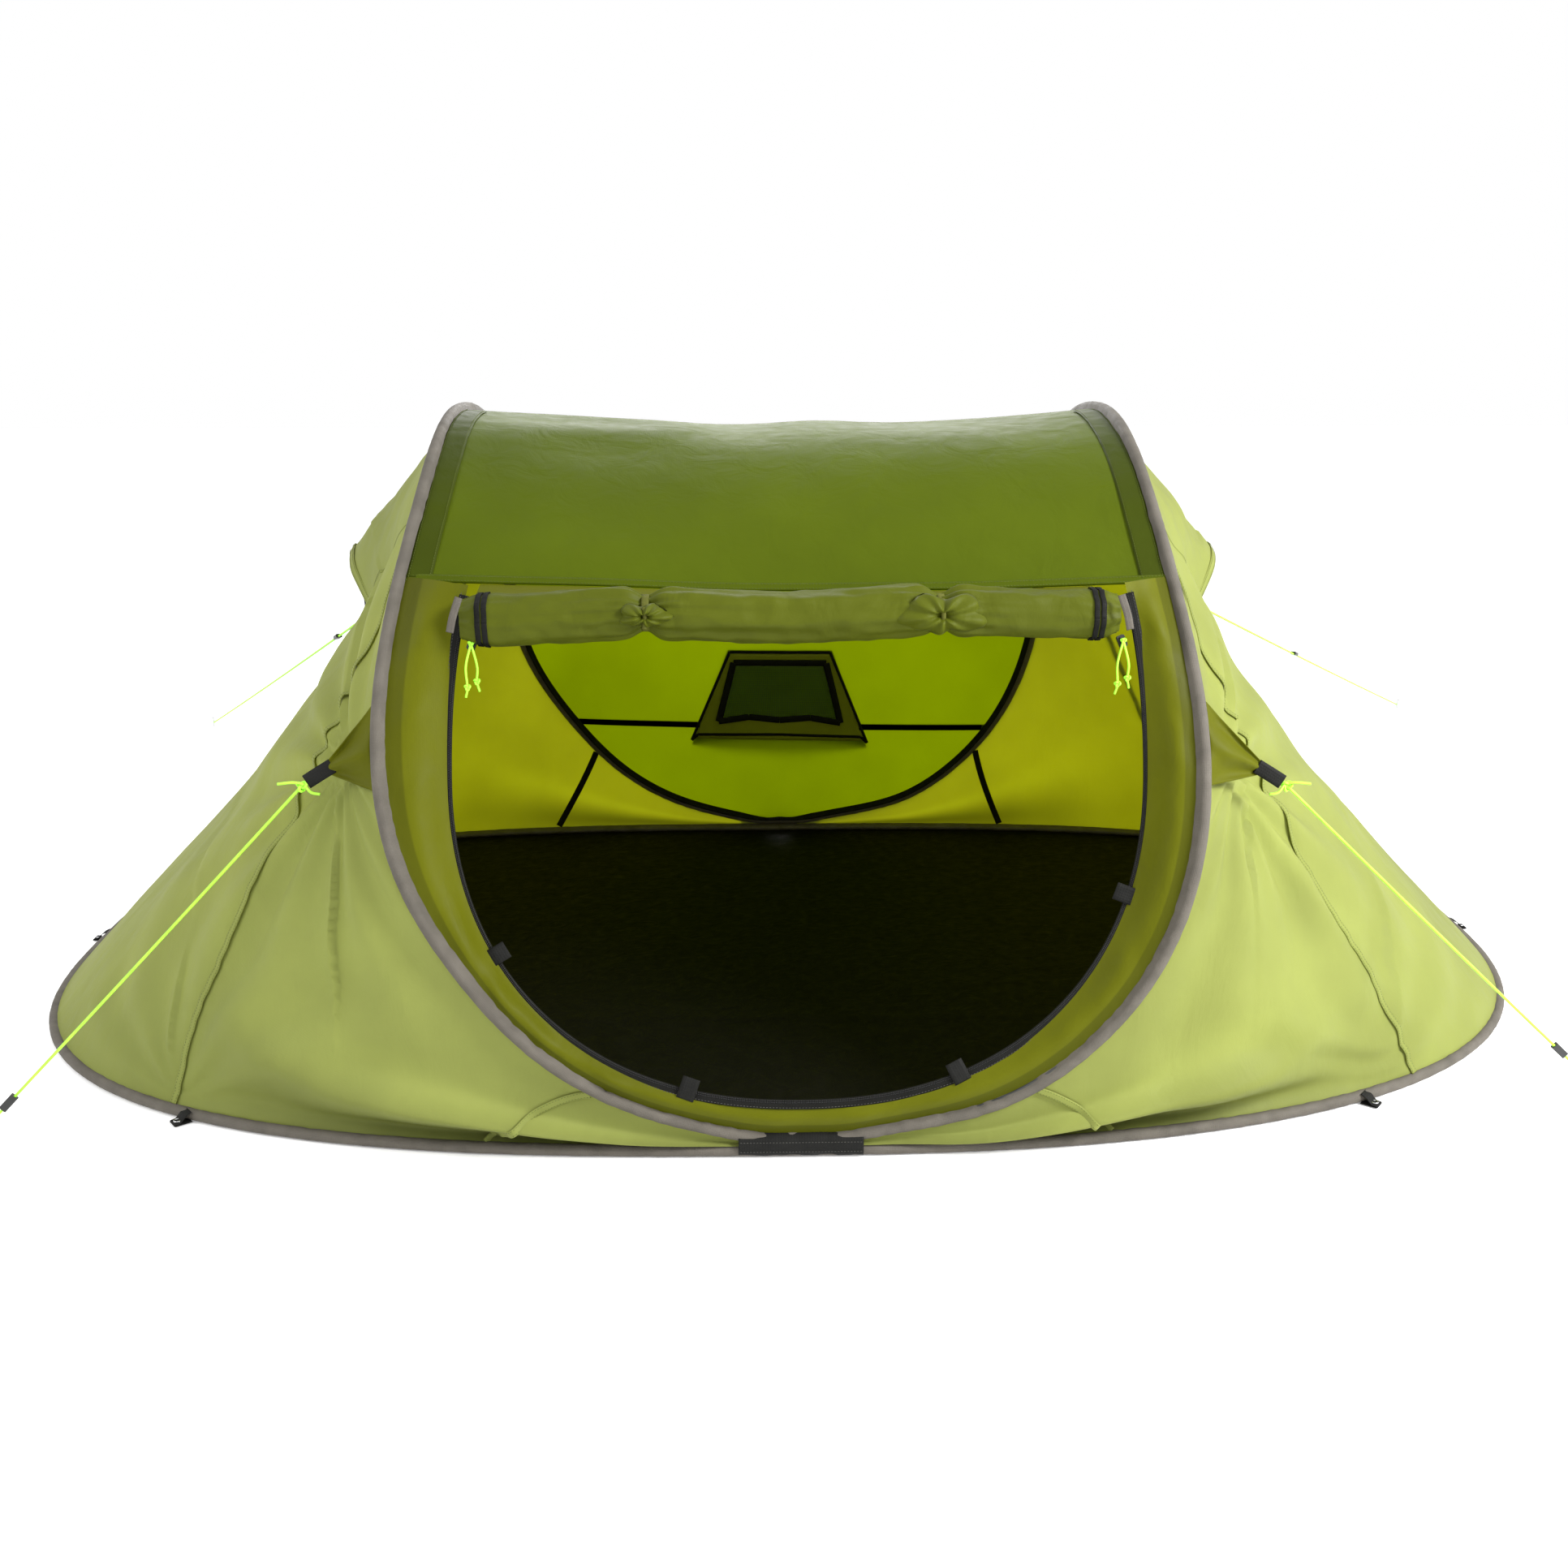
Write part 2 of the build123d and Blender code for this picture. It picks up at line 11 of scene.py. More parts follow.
import bmesh
import bpy
import numpy as np
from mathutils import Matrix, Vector


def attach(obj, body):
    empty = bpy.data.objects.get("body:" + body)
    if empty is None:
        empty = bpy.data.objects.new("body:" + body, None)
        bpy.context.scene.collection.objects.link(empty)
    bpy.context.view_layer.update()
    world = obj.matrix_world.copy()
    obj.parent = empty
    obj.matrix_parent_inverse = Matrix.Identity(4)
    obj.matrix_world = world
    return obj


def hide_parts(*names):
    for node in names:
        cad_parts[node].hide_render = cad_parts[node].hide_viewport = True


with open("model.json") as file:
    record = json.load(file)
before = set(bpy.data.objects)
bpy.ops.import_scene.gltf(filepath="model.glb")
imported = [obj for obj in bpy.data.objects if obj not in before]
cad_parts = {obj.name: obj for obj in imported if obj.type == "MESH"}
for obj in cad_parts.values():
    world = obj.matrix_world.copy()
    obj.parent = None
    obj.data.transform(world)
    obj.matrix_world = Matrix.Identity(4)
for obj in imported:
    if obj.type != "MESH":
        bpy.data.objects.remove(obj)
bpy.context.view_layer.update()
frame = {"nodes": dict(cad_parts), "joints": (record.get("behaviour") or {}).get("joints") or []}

# %% [markdown]
# ## Camera
# A lens of about 37 mm stands a little over chest height, 2.7 m in front of the door, and looks down.
# It is made first, because the room that the guy lines may take depends on what the camera sees.

# %% Camera
camera_data = bpy.data.cameras.new("camera")
camera_data.lens = 36.72
camera_data.sensor_width = 36.0
camera = bpy.data.objects.new("camera", camera_data)
camera.location = (-0.0687, -2.6706, 1.1004)
camera.rotation_euler = (math.radians(90 - 16.334), 0, -math.radians(1.336))
bpy.context.scene.collection.objects.link(camera)
bpy.context.scene.camera = camera
print("camera at", tuple(camera.location))

# %% [markdown]
# ## Small helpers for shaders
# A finish is a tree of nodes.  `Finish` keeps the tree and adds nodes to it in one line each, so that
# the material cells below read like a recipe.


# %% Shader helper
class Finish:
    """A material under construction."""

    def __init__(self, name):
        self.material = bpy.data.materials.new(name)
        self.material.use_nodes = True
        self.tree = self.material.node_tree
        self.tree.nodes.clear()

    def add(self, kind, inputs=None, **settings):
        """Add a node; an input is a value, or another node's output socket."""
        node = self.tree.nodes.new(kind)
        for key, value in settings.items():
            setattr(node, key, value)
        for key, value in (inputs or {}).items():
            if isinstance(value, bpy.types.NodeSocket):
                self.tree.links.new(value, node.inputs[key])
            else:
                node.inputs[key].default_value = value
        return node

    def place(self, scale, uv=False):
        """Coordinates on the piece itself, scaled."""
        where = self.add("ShaderNodeTexCoord").outputs["UV" if uv else "Object"]
        return self.add("ShaderNodeMapping", {"Vector": where, "Scale": scale}).outputs[0]

    def noise(self, scale, detail=4.0, uv=False, stretch=(1, 1, 1), distortion=0.0):
        """A soft noise, as one number."""
        settings = {"Vector": self.place(stretch, uv), "Scale": scale, "Detail": detail,
                    "Distortion": distortion}
        return self.add("ShaderNodeTexNoise", settings).outputs[0]

    def span(self, value, low, high):
        """Spread a number from 0 to 1 over a new range."""
        settings = {0: value, 1: 0.25, 2: 0.75, 3: low, 4: high}
        return self.add("ShaderNodeMapRange", settings).outputs[0]

    def tint(self, color, factor):
        """A colour times a number."""
        return self.add("ShaderNodeVectorMath", {0: color[:3], "Scale": factor}, operation="SCALE").outputs[0]

    def weave(self, thread, uv=True):
        """Crossing threads, as one number."""
        turns = 1 / thread / 6.2832
        spot = self.place((1, 1, 1), uv)
        bands = [
            self.add("ShaderNodeTexWave", {"Vector": spot, "Scale": turns}, bands_direction=way).outputs[1]
            for way in ("X", "Y")
        ]
        return self.add("ShaderNodeMath", {0: bands[0], 1: bands[1]}, operation="MULTIPLY").outputs[0]

    def bump(self, height, strength, distance, normal=None):
        """Turn a height into a bumped normal."""
        inputs = {"Height": height, "Strength": strength, "Distance": distance}
        if normal:
            inputs["Normal"] = normal
        return self.add("ShaderNodeBump", inputs).outputs[0]

    def show(self, shader):
        """Connect the finished surface."""
        self.add("ShaderNodeOutputMaterial", {"Surface": shader})
        return self.material


def rgb(red, green, blue):
    """A colour for a shader socket."""
    return (red, green, blue, 1.0)


print("shader helper ready")

# %% [markdown]
# ## Canopy cloth
# The canopy is thin coated polyester: it shines softly, shows its weave close up, and lets daylight
# through.  A Principled shader gives the sheen, a Translucent shader gives the glow seen from inside,
# and a fixed mix of both behaves like one thin sheet.


# %% Canopy cloth
def canopy_cloth(name, front, glow, share, crease=0.5):
    """Coated polyester: front is the colour of reflected light, glow of light passing through."""
    f = Finish(name)
    clouds = f.noise(5.0, 5.0)
    wash = f.span(clouds, 0.86, 1.12)
    # The shade attribute paints light and shade into the colour: below 1 it is painted shade, above 1 painted
    # highlight.
    shade = f.add("ShaderNodeAttribute", attribute_name="shade").outputs["Fac"]
    tone = f.add("ShaderNodeMath", {0: wash, 1: shade}, operation="MULTIPLY").outputs[0]
    creases = f.noise(16.0, 7.0, stretch=(1.0, 1.0, 0.45), distortion=0.6)
    normal = f.bump(creases, crease, 0.006)
    normal = f.bump(f.weave(0.0011), 0.10, 0.0004, normal)
    gloss = f.span(f.noise(40.0, 3.0), 0.50, 0.62)
    skin = f.add("ShaderNodeBsdfPrincipled", {
        "Base Color": f.tint(rgb(*front), tone), "Roughness": gloss, "Normal": normal,
        "Specular IOR Level": 0.13, "Sheen Weight": 0.02,
    })
    lit = f.add("ShaderNodeBsdfTranslucent", {"Color": f.tint(rgb(*glow), tone), "Normal": normal})
    mix = f.add("ShaderNodeMixShader", {0: share, 1: skin.outputs[0], 2: lit.outputs[0]})
    return f.show(mix.outputs[0])


LIGHT_CLOTH = canopy_cloth("light green cloth", (0.300, 0.335, 0.085), (0.33, 0.345, 0.000), 0.36)
OLIVE_CLOTH = canopy_cloth("olive green cloth", (0.080, 0.112, 0.000), (0.225, 0.31, 0.000), 0.36)
BAND_CLOTH = canopy_cloth("door band cloth", (0.110, 0.118, 0.000), (0.19, 0.22, 0.000), 0.26)
ROLL_CLOTH = canopy_cloth("rolled door cloth", (0.070, 0.084, 0.002), (0.08, 0.10, 0.000), 0.06, 0.9)
print("cloth finishes", LIGHT_CLOTH.name, OLIVE_CLOTH.name, BAND_CLOTH.name, ROLL_CLOTH.name)

# %% [markdown]
# ## Trim finishes
# Binding, webbing and tape are coarser woven stuff; the groundsheet is a matt coated sheet; the guy
# lines are bright braided cord; runners and struts are moulded plastic and the pegs are wire.


# %% Trim finishes
def woven(name, color, thread, roughness=(0.6, 0.8), uv=True, shine=0.2):
    """A thick woven tape."""
    f = Finish(name)
    threads = f.weave(thread, uv)
    tone = f.span(f.noise(30.0, 4.0), 0.8, 1.2)
    normal = f.bump(threads, 0.5, 0.0006, f.bump(f.noise(60.0, 4.0), 0.35, 0.003))
    skin = f.add("ShaderNodeBsdfPrincipled", {
        "Base Color": f.tint(rgb(*color), tone), "Roughness": f.span(f.noise(45.0), *roughness),
        "Normal": normal, "Specular IOR Level": shine,
    })
    return f.show(skin.outputs[0])


def moulded(name, color, roughness, metallic=0.0):
    """Moulded plastic or drawn wire with fine wear."""
    f = Finish(name)
    tone = f.span(f.noise(90.0, 5.0), 0.85, 1.15)
    skin = f.add("ShaderNodeBsdfPrincipled", {
        "Base Color": f.tint(rgb(*color), tone), "Roughness": f.span(f.noise(160.0), *roughness),
        "Normal": f.bump(f.noise(300.0, 3.0), 0.2, 0.0005), "Metallic": metallic,
    })
    return f.show(skin.outputs[0])


def groundsheet_finish():
    """Black coated sheet with faint crow's feet."""
    f = Finish("groundsheet")
    creases = f.noise(26.0, 8.0, distortion=1.2)
    normal = f.bump(creases, 0.5, 0.006, f.bump(f.weave(0.0014), 0.15, 0.0005))
    skin = f.add("ShaderNodeBsdfPrincipled", {
        # Painted shade and painted highlight: the colour is darker in the crease hollows and lighter on their
        # ridges, following the bump's heights.
        "Base Color": f.tint(rgb(0.0030, 0.0029, 0.0013), f.span(creases, 0.7, 1.5)),
        "Roughness": f.span(f.noise(50.0), 0.62, 0.78), "Normal": normal, "Specular IOR Level": 0.09,
    })
    return f.show(skin.outputs[0])


def net_finish():
    """Fine black mosquito net, darkened green by the cloth behind it."""
    f = Finish("mosquito net")
    holes = f.weave(0.0022)
    color = f.tint(rgb(0.13, 0.22, 0.006), f.span(holes, 0.5, 1.6))
    skin = f.add("ShaderNodeBsdfPrincipled", {
        "Base Color": color, "Roughness": f.span(holes, 0.6, 0.9), "Normal": f.bump(holes, 0.7, 0.0006),
    })
    lit = f.add("ShaderNodeBsdfTranslucent", {"Color": rgb(0.40, 0.60, 0.01)})
    mix = f.add("ShaderNodeMixShader", {0: 0.45, 1: skin.outputs[0], 2: lit.outputs[0]})
    return f.show(mix.outputs[0])


GREY_BINDING = woven("grey binding", (0.105, 0.094, 0.078), 0.0011)
BLACK_WEBBING = woven("black webbing", (0.006, 0.006, 0.005), 0.0018)
BLACK_TAPE = woven("black tape", (0.003, 0.003, 0.002), 0.0012)
OLIVE_TAPE = woven("brown green tape", (0.090, 0.095, 0.012), 0.0012)
THREAD = woven("olive thread", (0.105, 0.135, 0.020), 0.0006, uv=False)
GREY_THREAD = woven("grey thread", (0.07, 0.068, 0.06), 0.0006, uv=False)
ROPE = woven("bright braid", (0.40, 0.98, 0.045), 0.0012, (0.45, 0.6), uv=True, shine=0.5)
GROUNDSHEET = groundsheet_finish()
NET = net_finish()
BLACK_PLASTIC = moulded("black plastic", (0.014, 0.014, 0.014), (0.35, 0.5))
ZIP_METAL = moulded("blackened zip metal", (0.06, 0.06, 0.058), (0.28, 0.42), 0.8)
STEEL = moulded("wire steel", (0.52, 0.52, 0.53), (0.22, 0.36), 1.0)
ROD = moulded("glass fibre rod", (0.035, 0.035, 0.033), (0.3, 0.45))
print("trim finishes ready")

# %% [markdown]
# ## Making cloth from grids
# Every cloth piece here starts as a grid of points, rows by columns.  The helper turns a grid into a
# mesh of quads and lays a UV map on it in metres, so one weave scale is right on every piece.  The
# `shade` attribute is painted light in the colour: painted shade darkens doubled hems and low folds,
# and a painted highlight lightens the side cloth just above those folds.


# %% Grid helper
def steps_along(grid, axis):
    """Metres from the grid's start along one axis, averaged over the other."""
    gaps = np.linalg.norm(np.diff(grid, axis=axis), axis=2).mean(axis=1 - axis)
    return np.concatenate([[0.0], np.cumsum(gaps)])


def grid_mesh(name, grid, wrap=False, caps=False, shade=None):
    """A mesh from a grid of points; wrap joins the last column to the first."""
    rows, cols = grid.shape[:2]
    span = cols if wrap else cols - 1
    i, j = [a.ravel() for a in np.meshgrid(np.arange(rows - 1), np.arange(span), indexing="ij")]
    k = (j + 1) % cols
    quads = np.stack([i * cols + j, i * cols + k, (i + 1) * cols + k, (i + 1) * cols + j], 1)
    full = np.concatenate([grid, grid[:, :1]], axis=1) if wrap else grid
    u, v = steps_along(full, 0), steps_along(full, 1)
    uv = np.stack([u[i], v[j], u[i], v[j + 1], u[i + 1], v[j + 1], u[i + 1], v[j]], 1).reshape(-1, 2)
    faces = quads.tolist()
    if caps:
        faces += [list(range(cols))[::-1], [(rows - 1) * cols + c for c in range(cols)]]
        uv = np.concatenate([uv, np.zeros((2 * cols, 2))])
    mesh = bpy.data.meshes.new(name)
    mesh.from_pydata(grid.reshape(-1, 3).tolist(), [], faces)
    mesh.uv_layers.new(name="weave").data.foreach_set("uv", uv.astype(np.float32).ravel())
    level = np.ones(rows * cols) if shade is None else np.broadcast_to(shade, (rows, cols)).ravel()
    mesh.attributes.new("shade", "FLOAT", "POINT").data.foreach_set("value", level.astype(np.float32))
    mesh.shade_smooth()
    return mesh


def unit(vectors):
    """Vectors of length 1."""
    return vectors / np.maximum(np.linalg.norm(vectors, axis=-1, keepdims=True), 1e-12)


def facing(grid, outward):
    """The same grid, with its rows in the order that makes its faces look outward."""
    normal = np.cross(np.gradient(grid, axis=1), np.gradient(grid, axis=0))
    return grid if (unit(normal) @ np.array(outward)).mean() > 0 else grid[::-1]


# %% [markdown]
# ## Finishing a piece
# A finished piece is linked to the scene, gets its finish, rides on a body of the frame, and stands in
# for the plain solids that it dresses.


# %% Piece helper
def finish_piece(name, meshes, material, stands_for=(), body="tent"):
    """One object from one or more meshes."""
    meshes = meshes if isinstance(meshes, list) else [meshes]
    parts = []
    for mesh in meshes:
        part = bpy.data.objects.new(name, mesh)
        bpy.context.scene.collection.objects.link(part)
        parts.append(part)
    piece = parts[0]
    if len(parts) > 1:
        with bpy.context.temp_override(active_object=piece, object=piece, selected_editable_objects=parts):
            bpy.ops.object.join()
    piece.name = name
    piece.data.materials.clear()
    piece.data.materials.append(material)
    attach(piece, body)
    if stands_for:
        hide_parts(*stands_for)
    print(f"{name}: {len(piece.data.polygons)} faces")
    return piece


def thicken(piece, thickness=0.0007, offset=0.0):
    """Give thin cloth its two sides."""
    wall = piece.modifiers.new("cloth thickness", "SOLIDIFY")
    wall.thickness = thickness
    wall.offset = offset
    return piece


def noise3(points, scale, seed=0):
    """Smooth noise from -1 to 1 at points in space, with features about 1 / scale wide."""
    p = np.asarray(points) * scale + 17.3 * seed
    cell = np.floor(p)
    f = p - cell
    f = f * f * (3 - 2 * f)
    total = np.zeros(p.shape[:-1])
    for corner in np.ndindex(2, 2, 2):
        key = (cell + corner) @ np.array([127.1, 311.7, 74.7])
        value = 2 * (np.abs(np.sin(key) * 43758.5453) % 1.0) - 1
        weight = np.prod(np.where(corner, f, 1 - f), axis=-1)
        total += value * weight
    return total


print("grid and piece helpers ready")

# %% [markdown]
# ## The hoop and the ring
# The hoop is a closed spline through a few heights and half widths.  The ring is a superellipse, a
# rounded rectangle whose corners have one number each.  `track` turns either into a function from 0 to
# 1 along the line at even speed, from the front foot to the rear foot of one side.

# %% Hoop and ring lines
HOOP_FOOT_Z, PEAK_Z = 0.025, 0.956
RING_HALF_LENGTH, RING_HALF_WIDTH, RING_WIDEST_Y, RING_Z = 1.242, 0.717, 0.100, 0.008
RING_SQUARENESS = {(-1, -1): 2.8, (1, -1): 2.45, (-1, 1): 2.9, (1, 1): 2.9}
HOOP_ROUNDNESS = 2.25
HOOP_Z = [0.025, 0.036, 0.075, 0.150, 0.260, 0.400, 0.550, 0.700, 0.850, 0.905, 0.940, 0.953, 0.956]
HOOP_X = {
    -1: [0.040, 0.105, 0.232, 0.352, 0.450, 0.530, 0.559, 0.551, 0.530, 0.527, 0.528, 0.530, 0.531],
    1: [0.040, 0.112, 0.272, 0.385, 0.474, 0.527, 0.540, 0.525, 0.507, 0.505, 0.506, 0.508, 0.509],
}
SPLINE_STEPS = 40


def profile_y(z):
    """How far the hoop stands from the middle, front to back, at a height."""
    rise = min(max((z - HOOP_FOOT_Z) / (PEAK_Z - HOOP_FOOT_Z), 0.0), 1.0)
    return RING_HALF_WIDTH * (1.0 - rise ** HOOP_ROUNDNESS) ** (1 / HOOP_ROUNDNESS)


def closed_spline(points):
    """A smooth closed line through points: a periodic cubic spline, solved for its second slopes."""
    p, n = np.array(points), len(points)
    gap = np.linalg.norm(np.roll(p, -1, axis=0) - p, axis=1)
    matrix, right = np.zeros((n, n)), np.zeros((n, 3))
    for i in range(n):
        j, before, after = (i + 1) % n, gap[i - 1], gap[i]
        matrix[i, i - 1] += before / 6
        matrix[i, i] += (before + after) / 3
        matrix[i, j] += after / 6
        right[i] = (p[j] - p[i]) / after - (p[i] - p[i - 1]) / before
    bend = np.linalg.solve(matrix, right)
    s = np.linspace(0, 1, SPLINE_STEPS, endpoint=False)[:, None]
    spans = []
    for i in range(n):
        j, a = (i + 1) % n, 1 - s
        cubic = ((a ** 3 - a) * bend[i] + (s ** 3 - s) * bend[j]) * gap[i] ** 2 / 6
        spans.append(a * p[i] + s * p[j] + cubic)
    return np.concatenate(spans)


def track(line):
    """A function from 0 to 1 along a line, at even speed."""
    reach = np.concatenate([[0.0], np.cumsum(np.linalg.norm(np.diff(line, axis=0), axis=1))])

    def at(t):
        distance = np.clip(np.asarray(t, float), 0, 1) * reach[-1]
        return np.stack([np.interp(distance, reach, line[:, k]) for k in range(3)], axis=-1)

    return at


def half_hoop_points(side):
    """The points of one side between the two feet, from front to rear."""
    front = [(side * x, -profile_y(z), z) for x, z in zip(HOOP_X[side], HOOP_Z)]
    return front + [(x, -y, z) for x, y, z in reversed(front[:-1])]


def hoop_tracks():
    """One track for each side of the hoop."""
    front, rear = (0.0, -RING_HALF_WIDTH, HOOP_FOOT_Z), (0.0, RING_HALF_WIDTH, HOOP_FOOT_Z)
    left, right = half_hoop_points(-1), half_hoop_points(1)
    line = closed_spline([front, *left, rear, *right[::-1]])
    turn = (len(left) + 1) * SPLINE_STEPS
    back = np.concatenate([line[turn:], line[:1]])[::-1]
    return {-1: track(line[:turn + 1]), 1: track(back)}


def quarter_ring(side, end):
    """A track along a quarter of the ring, from its front or rear middle to its side."""
    a = np.linspace(math.pi / 2, 0, 900)
    power = 2 / RING_SQUARENESS[side, end]
    depth = RING_HALF_WIDTH - end * RING_WIDEST_Y
    x = side * RING_HALF_LENGTH * np.cos(a).clip(0) ** power
    y = RING_WIDEST_Y + end * depth * np.sin(a) ** power
    return track(np.stack([x, y, np.full_like(x, RING_Z)], axis=1))


HOOP = hoop_tracks()
QUARTER = {(side, end): quarter_ring(side, end) for side in (-1, 1) for end in (-1, 1)}


def ring(side, t):
    """A point of the ring: t runs from 0 at the front to 1 at the rear."""
    t = np.asarray(t, float)[..., None]
    front, rear = QUARTER[side, -1](2 * t[..., 0]), QUARTER[side, 1](2 - 2 * t[..., 0])
    return np.where(t < 0.5, front, rear)


def find_t(path, axis, value, low, high):
    """Where a path's coordinate passes a value, between two places on it."""
    t = np.linspace(low, high, 2000)
    return t[np.abs(path(t)[:, axis] - value).argmin()]


print("hoop peak", HOOP[-1](0.5), HOOP[1](0.5))

# %% [markdown]
# ## The shapes of the walls
# A side wall is a ruled surface from the hoop to the ring that sags inwards.  The roof and the rear
# wall are rows stretched between the hoop's two legs.  Wrinkles are heights along the surface's
# normal: folds that fan out from where cloth is pulled, and puckers beside each sewn edge.

# %% Side wall surface
SLEEVE_EDGE = 0.007
SIDE_SAG = 0.052
NORMAL_STEP = 0.002
SEAM_FOOT_X = {(-1, "front"): -0.90, (1, "front"): 0.925, (-1, "rear"): -0.90, (1, "rear"): 0.90}
SEAM_TOP_T = {"front": 0.355, "rear": 0.645}


def seam_t(side, end, v):
    """Where a side seam runs: t at a share v of the way down the wall."""
    low, high = (0.02, 0.48) if end == "front" else (0.52, 0.98)
    foot = find_t(lambda t: ring(side, t), 0, SEAM_FOOT_X[side, end], low, high)
    return SEAM_TOP_T[end] + (foot - SEAM_TOP_T[end]) * np.asarray(v, float)


def side_base(side, t, v):
    """The smooth side wall: t along the hoop and the ring, v from the hoop down to the ring."""
    top, foot = HOOP[side](t), ring(side, t)
    run = foot - top
    length = np.linalg.norm(run, axis=-1, keepdims=True)
    way = run / length
    v = np.asarray(v, float)[..., None]
    depth = SIDE_SAG * length * np.sin(np.pi * np.asarray(t)[..., None])
    depth = depth * np.sin(np.pi * v.clip(0, 1) ** 0.85)
    point = top + way * SLEEVE_EDGE + way * (length - 2 * SLEEVE_EDGE) * v
    return point + np.array([-0.8 * side, 0, -0.6]) * depth


def side_normal(side, t, v):
    """Outward normals of the smooth side wall."""
    along = side_base(side, t + NORMAL_STEP, v) - side_base(side, t - NORMAL_STEP, v)
    down = side_base(side, t, v + NORMAL_STEP) - side_base(side, t, v - NORMAL_STEP)
    return unit(np.cross(along, down) * -side)


def fan(p, centre, folds, size, reach, seed=0):
    """Folds that fan out from a point where the cloth is pulled."""
    d = p - np.array(centre)
    r = np.linalg.norm(d, axis=-1)
    wander = 0.7 * noise3(p, 5.0, seed)
    angle = np.arctan2(d[..., 2], np.hypot(d[..., 0], d[..., 1]) * np.sign(d[..., 0] + 1e-9))
    return size * np.cos(folds * angle + wander * 3) * (r / reach) * np.exp(1 - r / reach)


def side_height(side, t, v, p):
    """Wrinkles of a side wall."""
    sewn = np.sin(np.pi * np.clip(v, 0, 1)) ** 0.5
    h = 0.0085 * noise3(p * np.array([1.0, 1.0, 0.45]), 4.5, 3 + side) * sewn
    h += 0.0030 * noise3(p * np.array([1.0, 1.6, 0.4]), 12.0, 5) * sewn
    h += fan(p, (side * 0.63, -0.58, 0.519), 17, 0.0075, 0.17, 2) * sewn
    h += fan(p, (side * 0.90, -0.59, 0.02), 15, 0.0055, 0.15, 4) * sewn
    h += 0.0042 * noise3(np.stack([t * 60, v * 3, v * 0], -1), 1.0, 8) * np.exp(-(1 - v) / 0.07) * sewn
    for end in ("front", "rear"):
        gap = (t - seam_t(side, end, v)) * 2.2
        beside = np.exp(-np.abs(gap) / 0.022)
        h += 0.0018 * beside * noise3(np.stack([v * 45, gap * 8, gap * 0], -1), 1.0, 6) * sewn
        h -= 0.0020 * np.exp(-(gap / 0.010) ** 2) * sewn
    middle = np.sin(np.pi * np.clip(t / 0.30, 0, 1))
    fold = 0.76 + 0.03 * np.sin(t * 40)
    h += middle * (0.030 * np.exp(-((v - fold) / 0.09) ** 2) - 0.018 * np.exp(-((v - 0.94) / 0.05) ** 2))
    return h


def side_wall(side, t, v, lift=0.0):
    """Points and normals of the wrinkled side wall."""
    t, v = np.broadcast_arrays(np.asarray(t, float), np.asarray(v, float))
    p, n = side_base(side, t, v), side_normal(side, t, v)
    return p + n * (side_height(side, t, v, p) + lift)[..., None], n


print("side seam feet", [round(float(seam_t(s, e, 1)), 3) for s in (-1, 1) for e in ("front", "rear")])

# %% [markdown]
# ## The shape of the roof and the rear wall
# Cloth that is stretched between two nearly level legs hangs a little between them.  Each row of the
# surface joins the same place on the left and the right leg, with a shallow sag towards the inside.

# %% Roof and rear wall surface
ROOF_SAG = 0.022
CANOPY_EDGE = 0.006
CANOPY_FOCUS_Z = 0.48


def inset(point, amount=CANOPY_EDGE):
    """Move hoop points into the canopy."""
    middle = np.stack([0 * point[..., 1], point[..., 1], 0 * point[..., 1] + CANOPY_FOCUS_Z], -1)
    return point + unit(middle - point) * amount


def canopy_base(t, u):
    """The smooth roof and rear wall: t along the hoop, u from the left leg to the right."""
    left, right = inset(HOOP[-1](t)), inset(HOOP[1](t))
    inward = unit(np.stack([0 * left[..., 1], -left[..., 1], 0.3 - left[..., 2]], -1))
    u = np.asarray(u, float)[..., None]
    return left + (right - left) * u + inward * (ROOF_SAG * 4 * u * (1 - u))


def canopy_height(t, u, p):
    """Wrinkles of the roof and the rear wall: folds fan from the peaks, and the legs' edges pucker."""
    edge = np.sin(np.pi * u) ** 0.5
    h = 0.0050 * noise3(p * np.array([0.8, 1.3, 1.3]), 5.0, 11) * edge
    for side in (-1, 1):
        h += fan(p, (side * 0.52, 0.0, 0.95), 13, 0.0065, 0.22, 12 + side) * edge
        gap = (0.5 + side * (0.5 - u)) if side > 0 else u
        h += 0.0016 * np.exp(-gap / 0.05) * noise3(np.stack([t * 120, gap * 6, gap * 0], -1), 1.0, 9)
    return h


def canopy(t, u, lift=0.0):
    """Points and outward normals of the wrinkled roof and rear wall."""
    t, u = np.broadcast_arrays(np.asarray(t, float), np.asarray(u, float))
    p = canopy_base(t, u)
    e = NORMAL_STEP
    along = canopy_base(t + e, u) - canopy_base(t - e, u)
    across = canopy_base(t, u + e) - canopy_base(t, u - e)
    n = unit(np.cross(across, along))
    return p + n * (canopy_height(t, u, p) + lift)[..., None], n


print("roof middle", canopy(0.45, 0.5)[0])

# %% [markdown]
# ## Door plane
# The door opening is a flat oval in a plane that leans back a little.  Everything round it, the band,
# the zip and its teeth, is placed by an angle on this oval.

# %% Door oval
DOOR_LEAN = math.radians(16.0)
DOOR_CENTRE = np.array([0.0, -0.600, 0.512])
DOOR_HALF_WIDTH, DOOR_HALF_DOWN, DOOR_HALF_UP, DOOR_ROUNDNESS = 0.466, 0.444, 0.620, 2.25
DOOR_UP = np.array([0.0, math.sin(DOOR_LEAN), math.cos(DOOR_LEAN)])
DOOR_OUT = np.array([0.0, -math.cos(DOOR_LEAN), math.sin(DOOR_LEAN)])
ZIP_START, ZIP_END = math.radians(152.0), math.radians(388.0)
FRONT_SEAM_Z, REAR_SEAM_Z = 0.752, 0.245


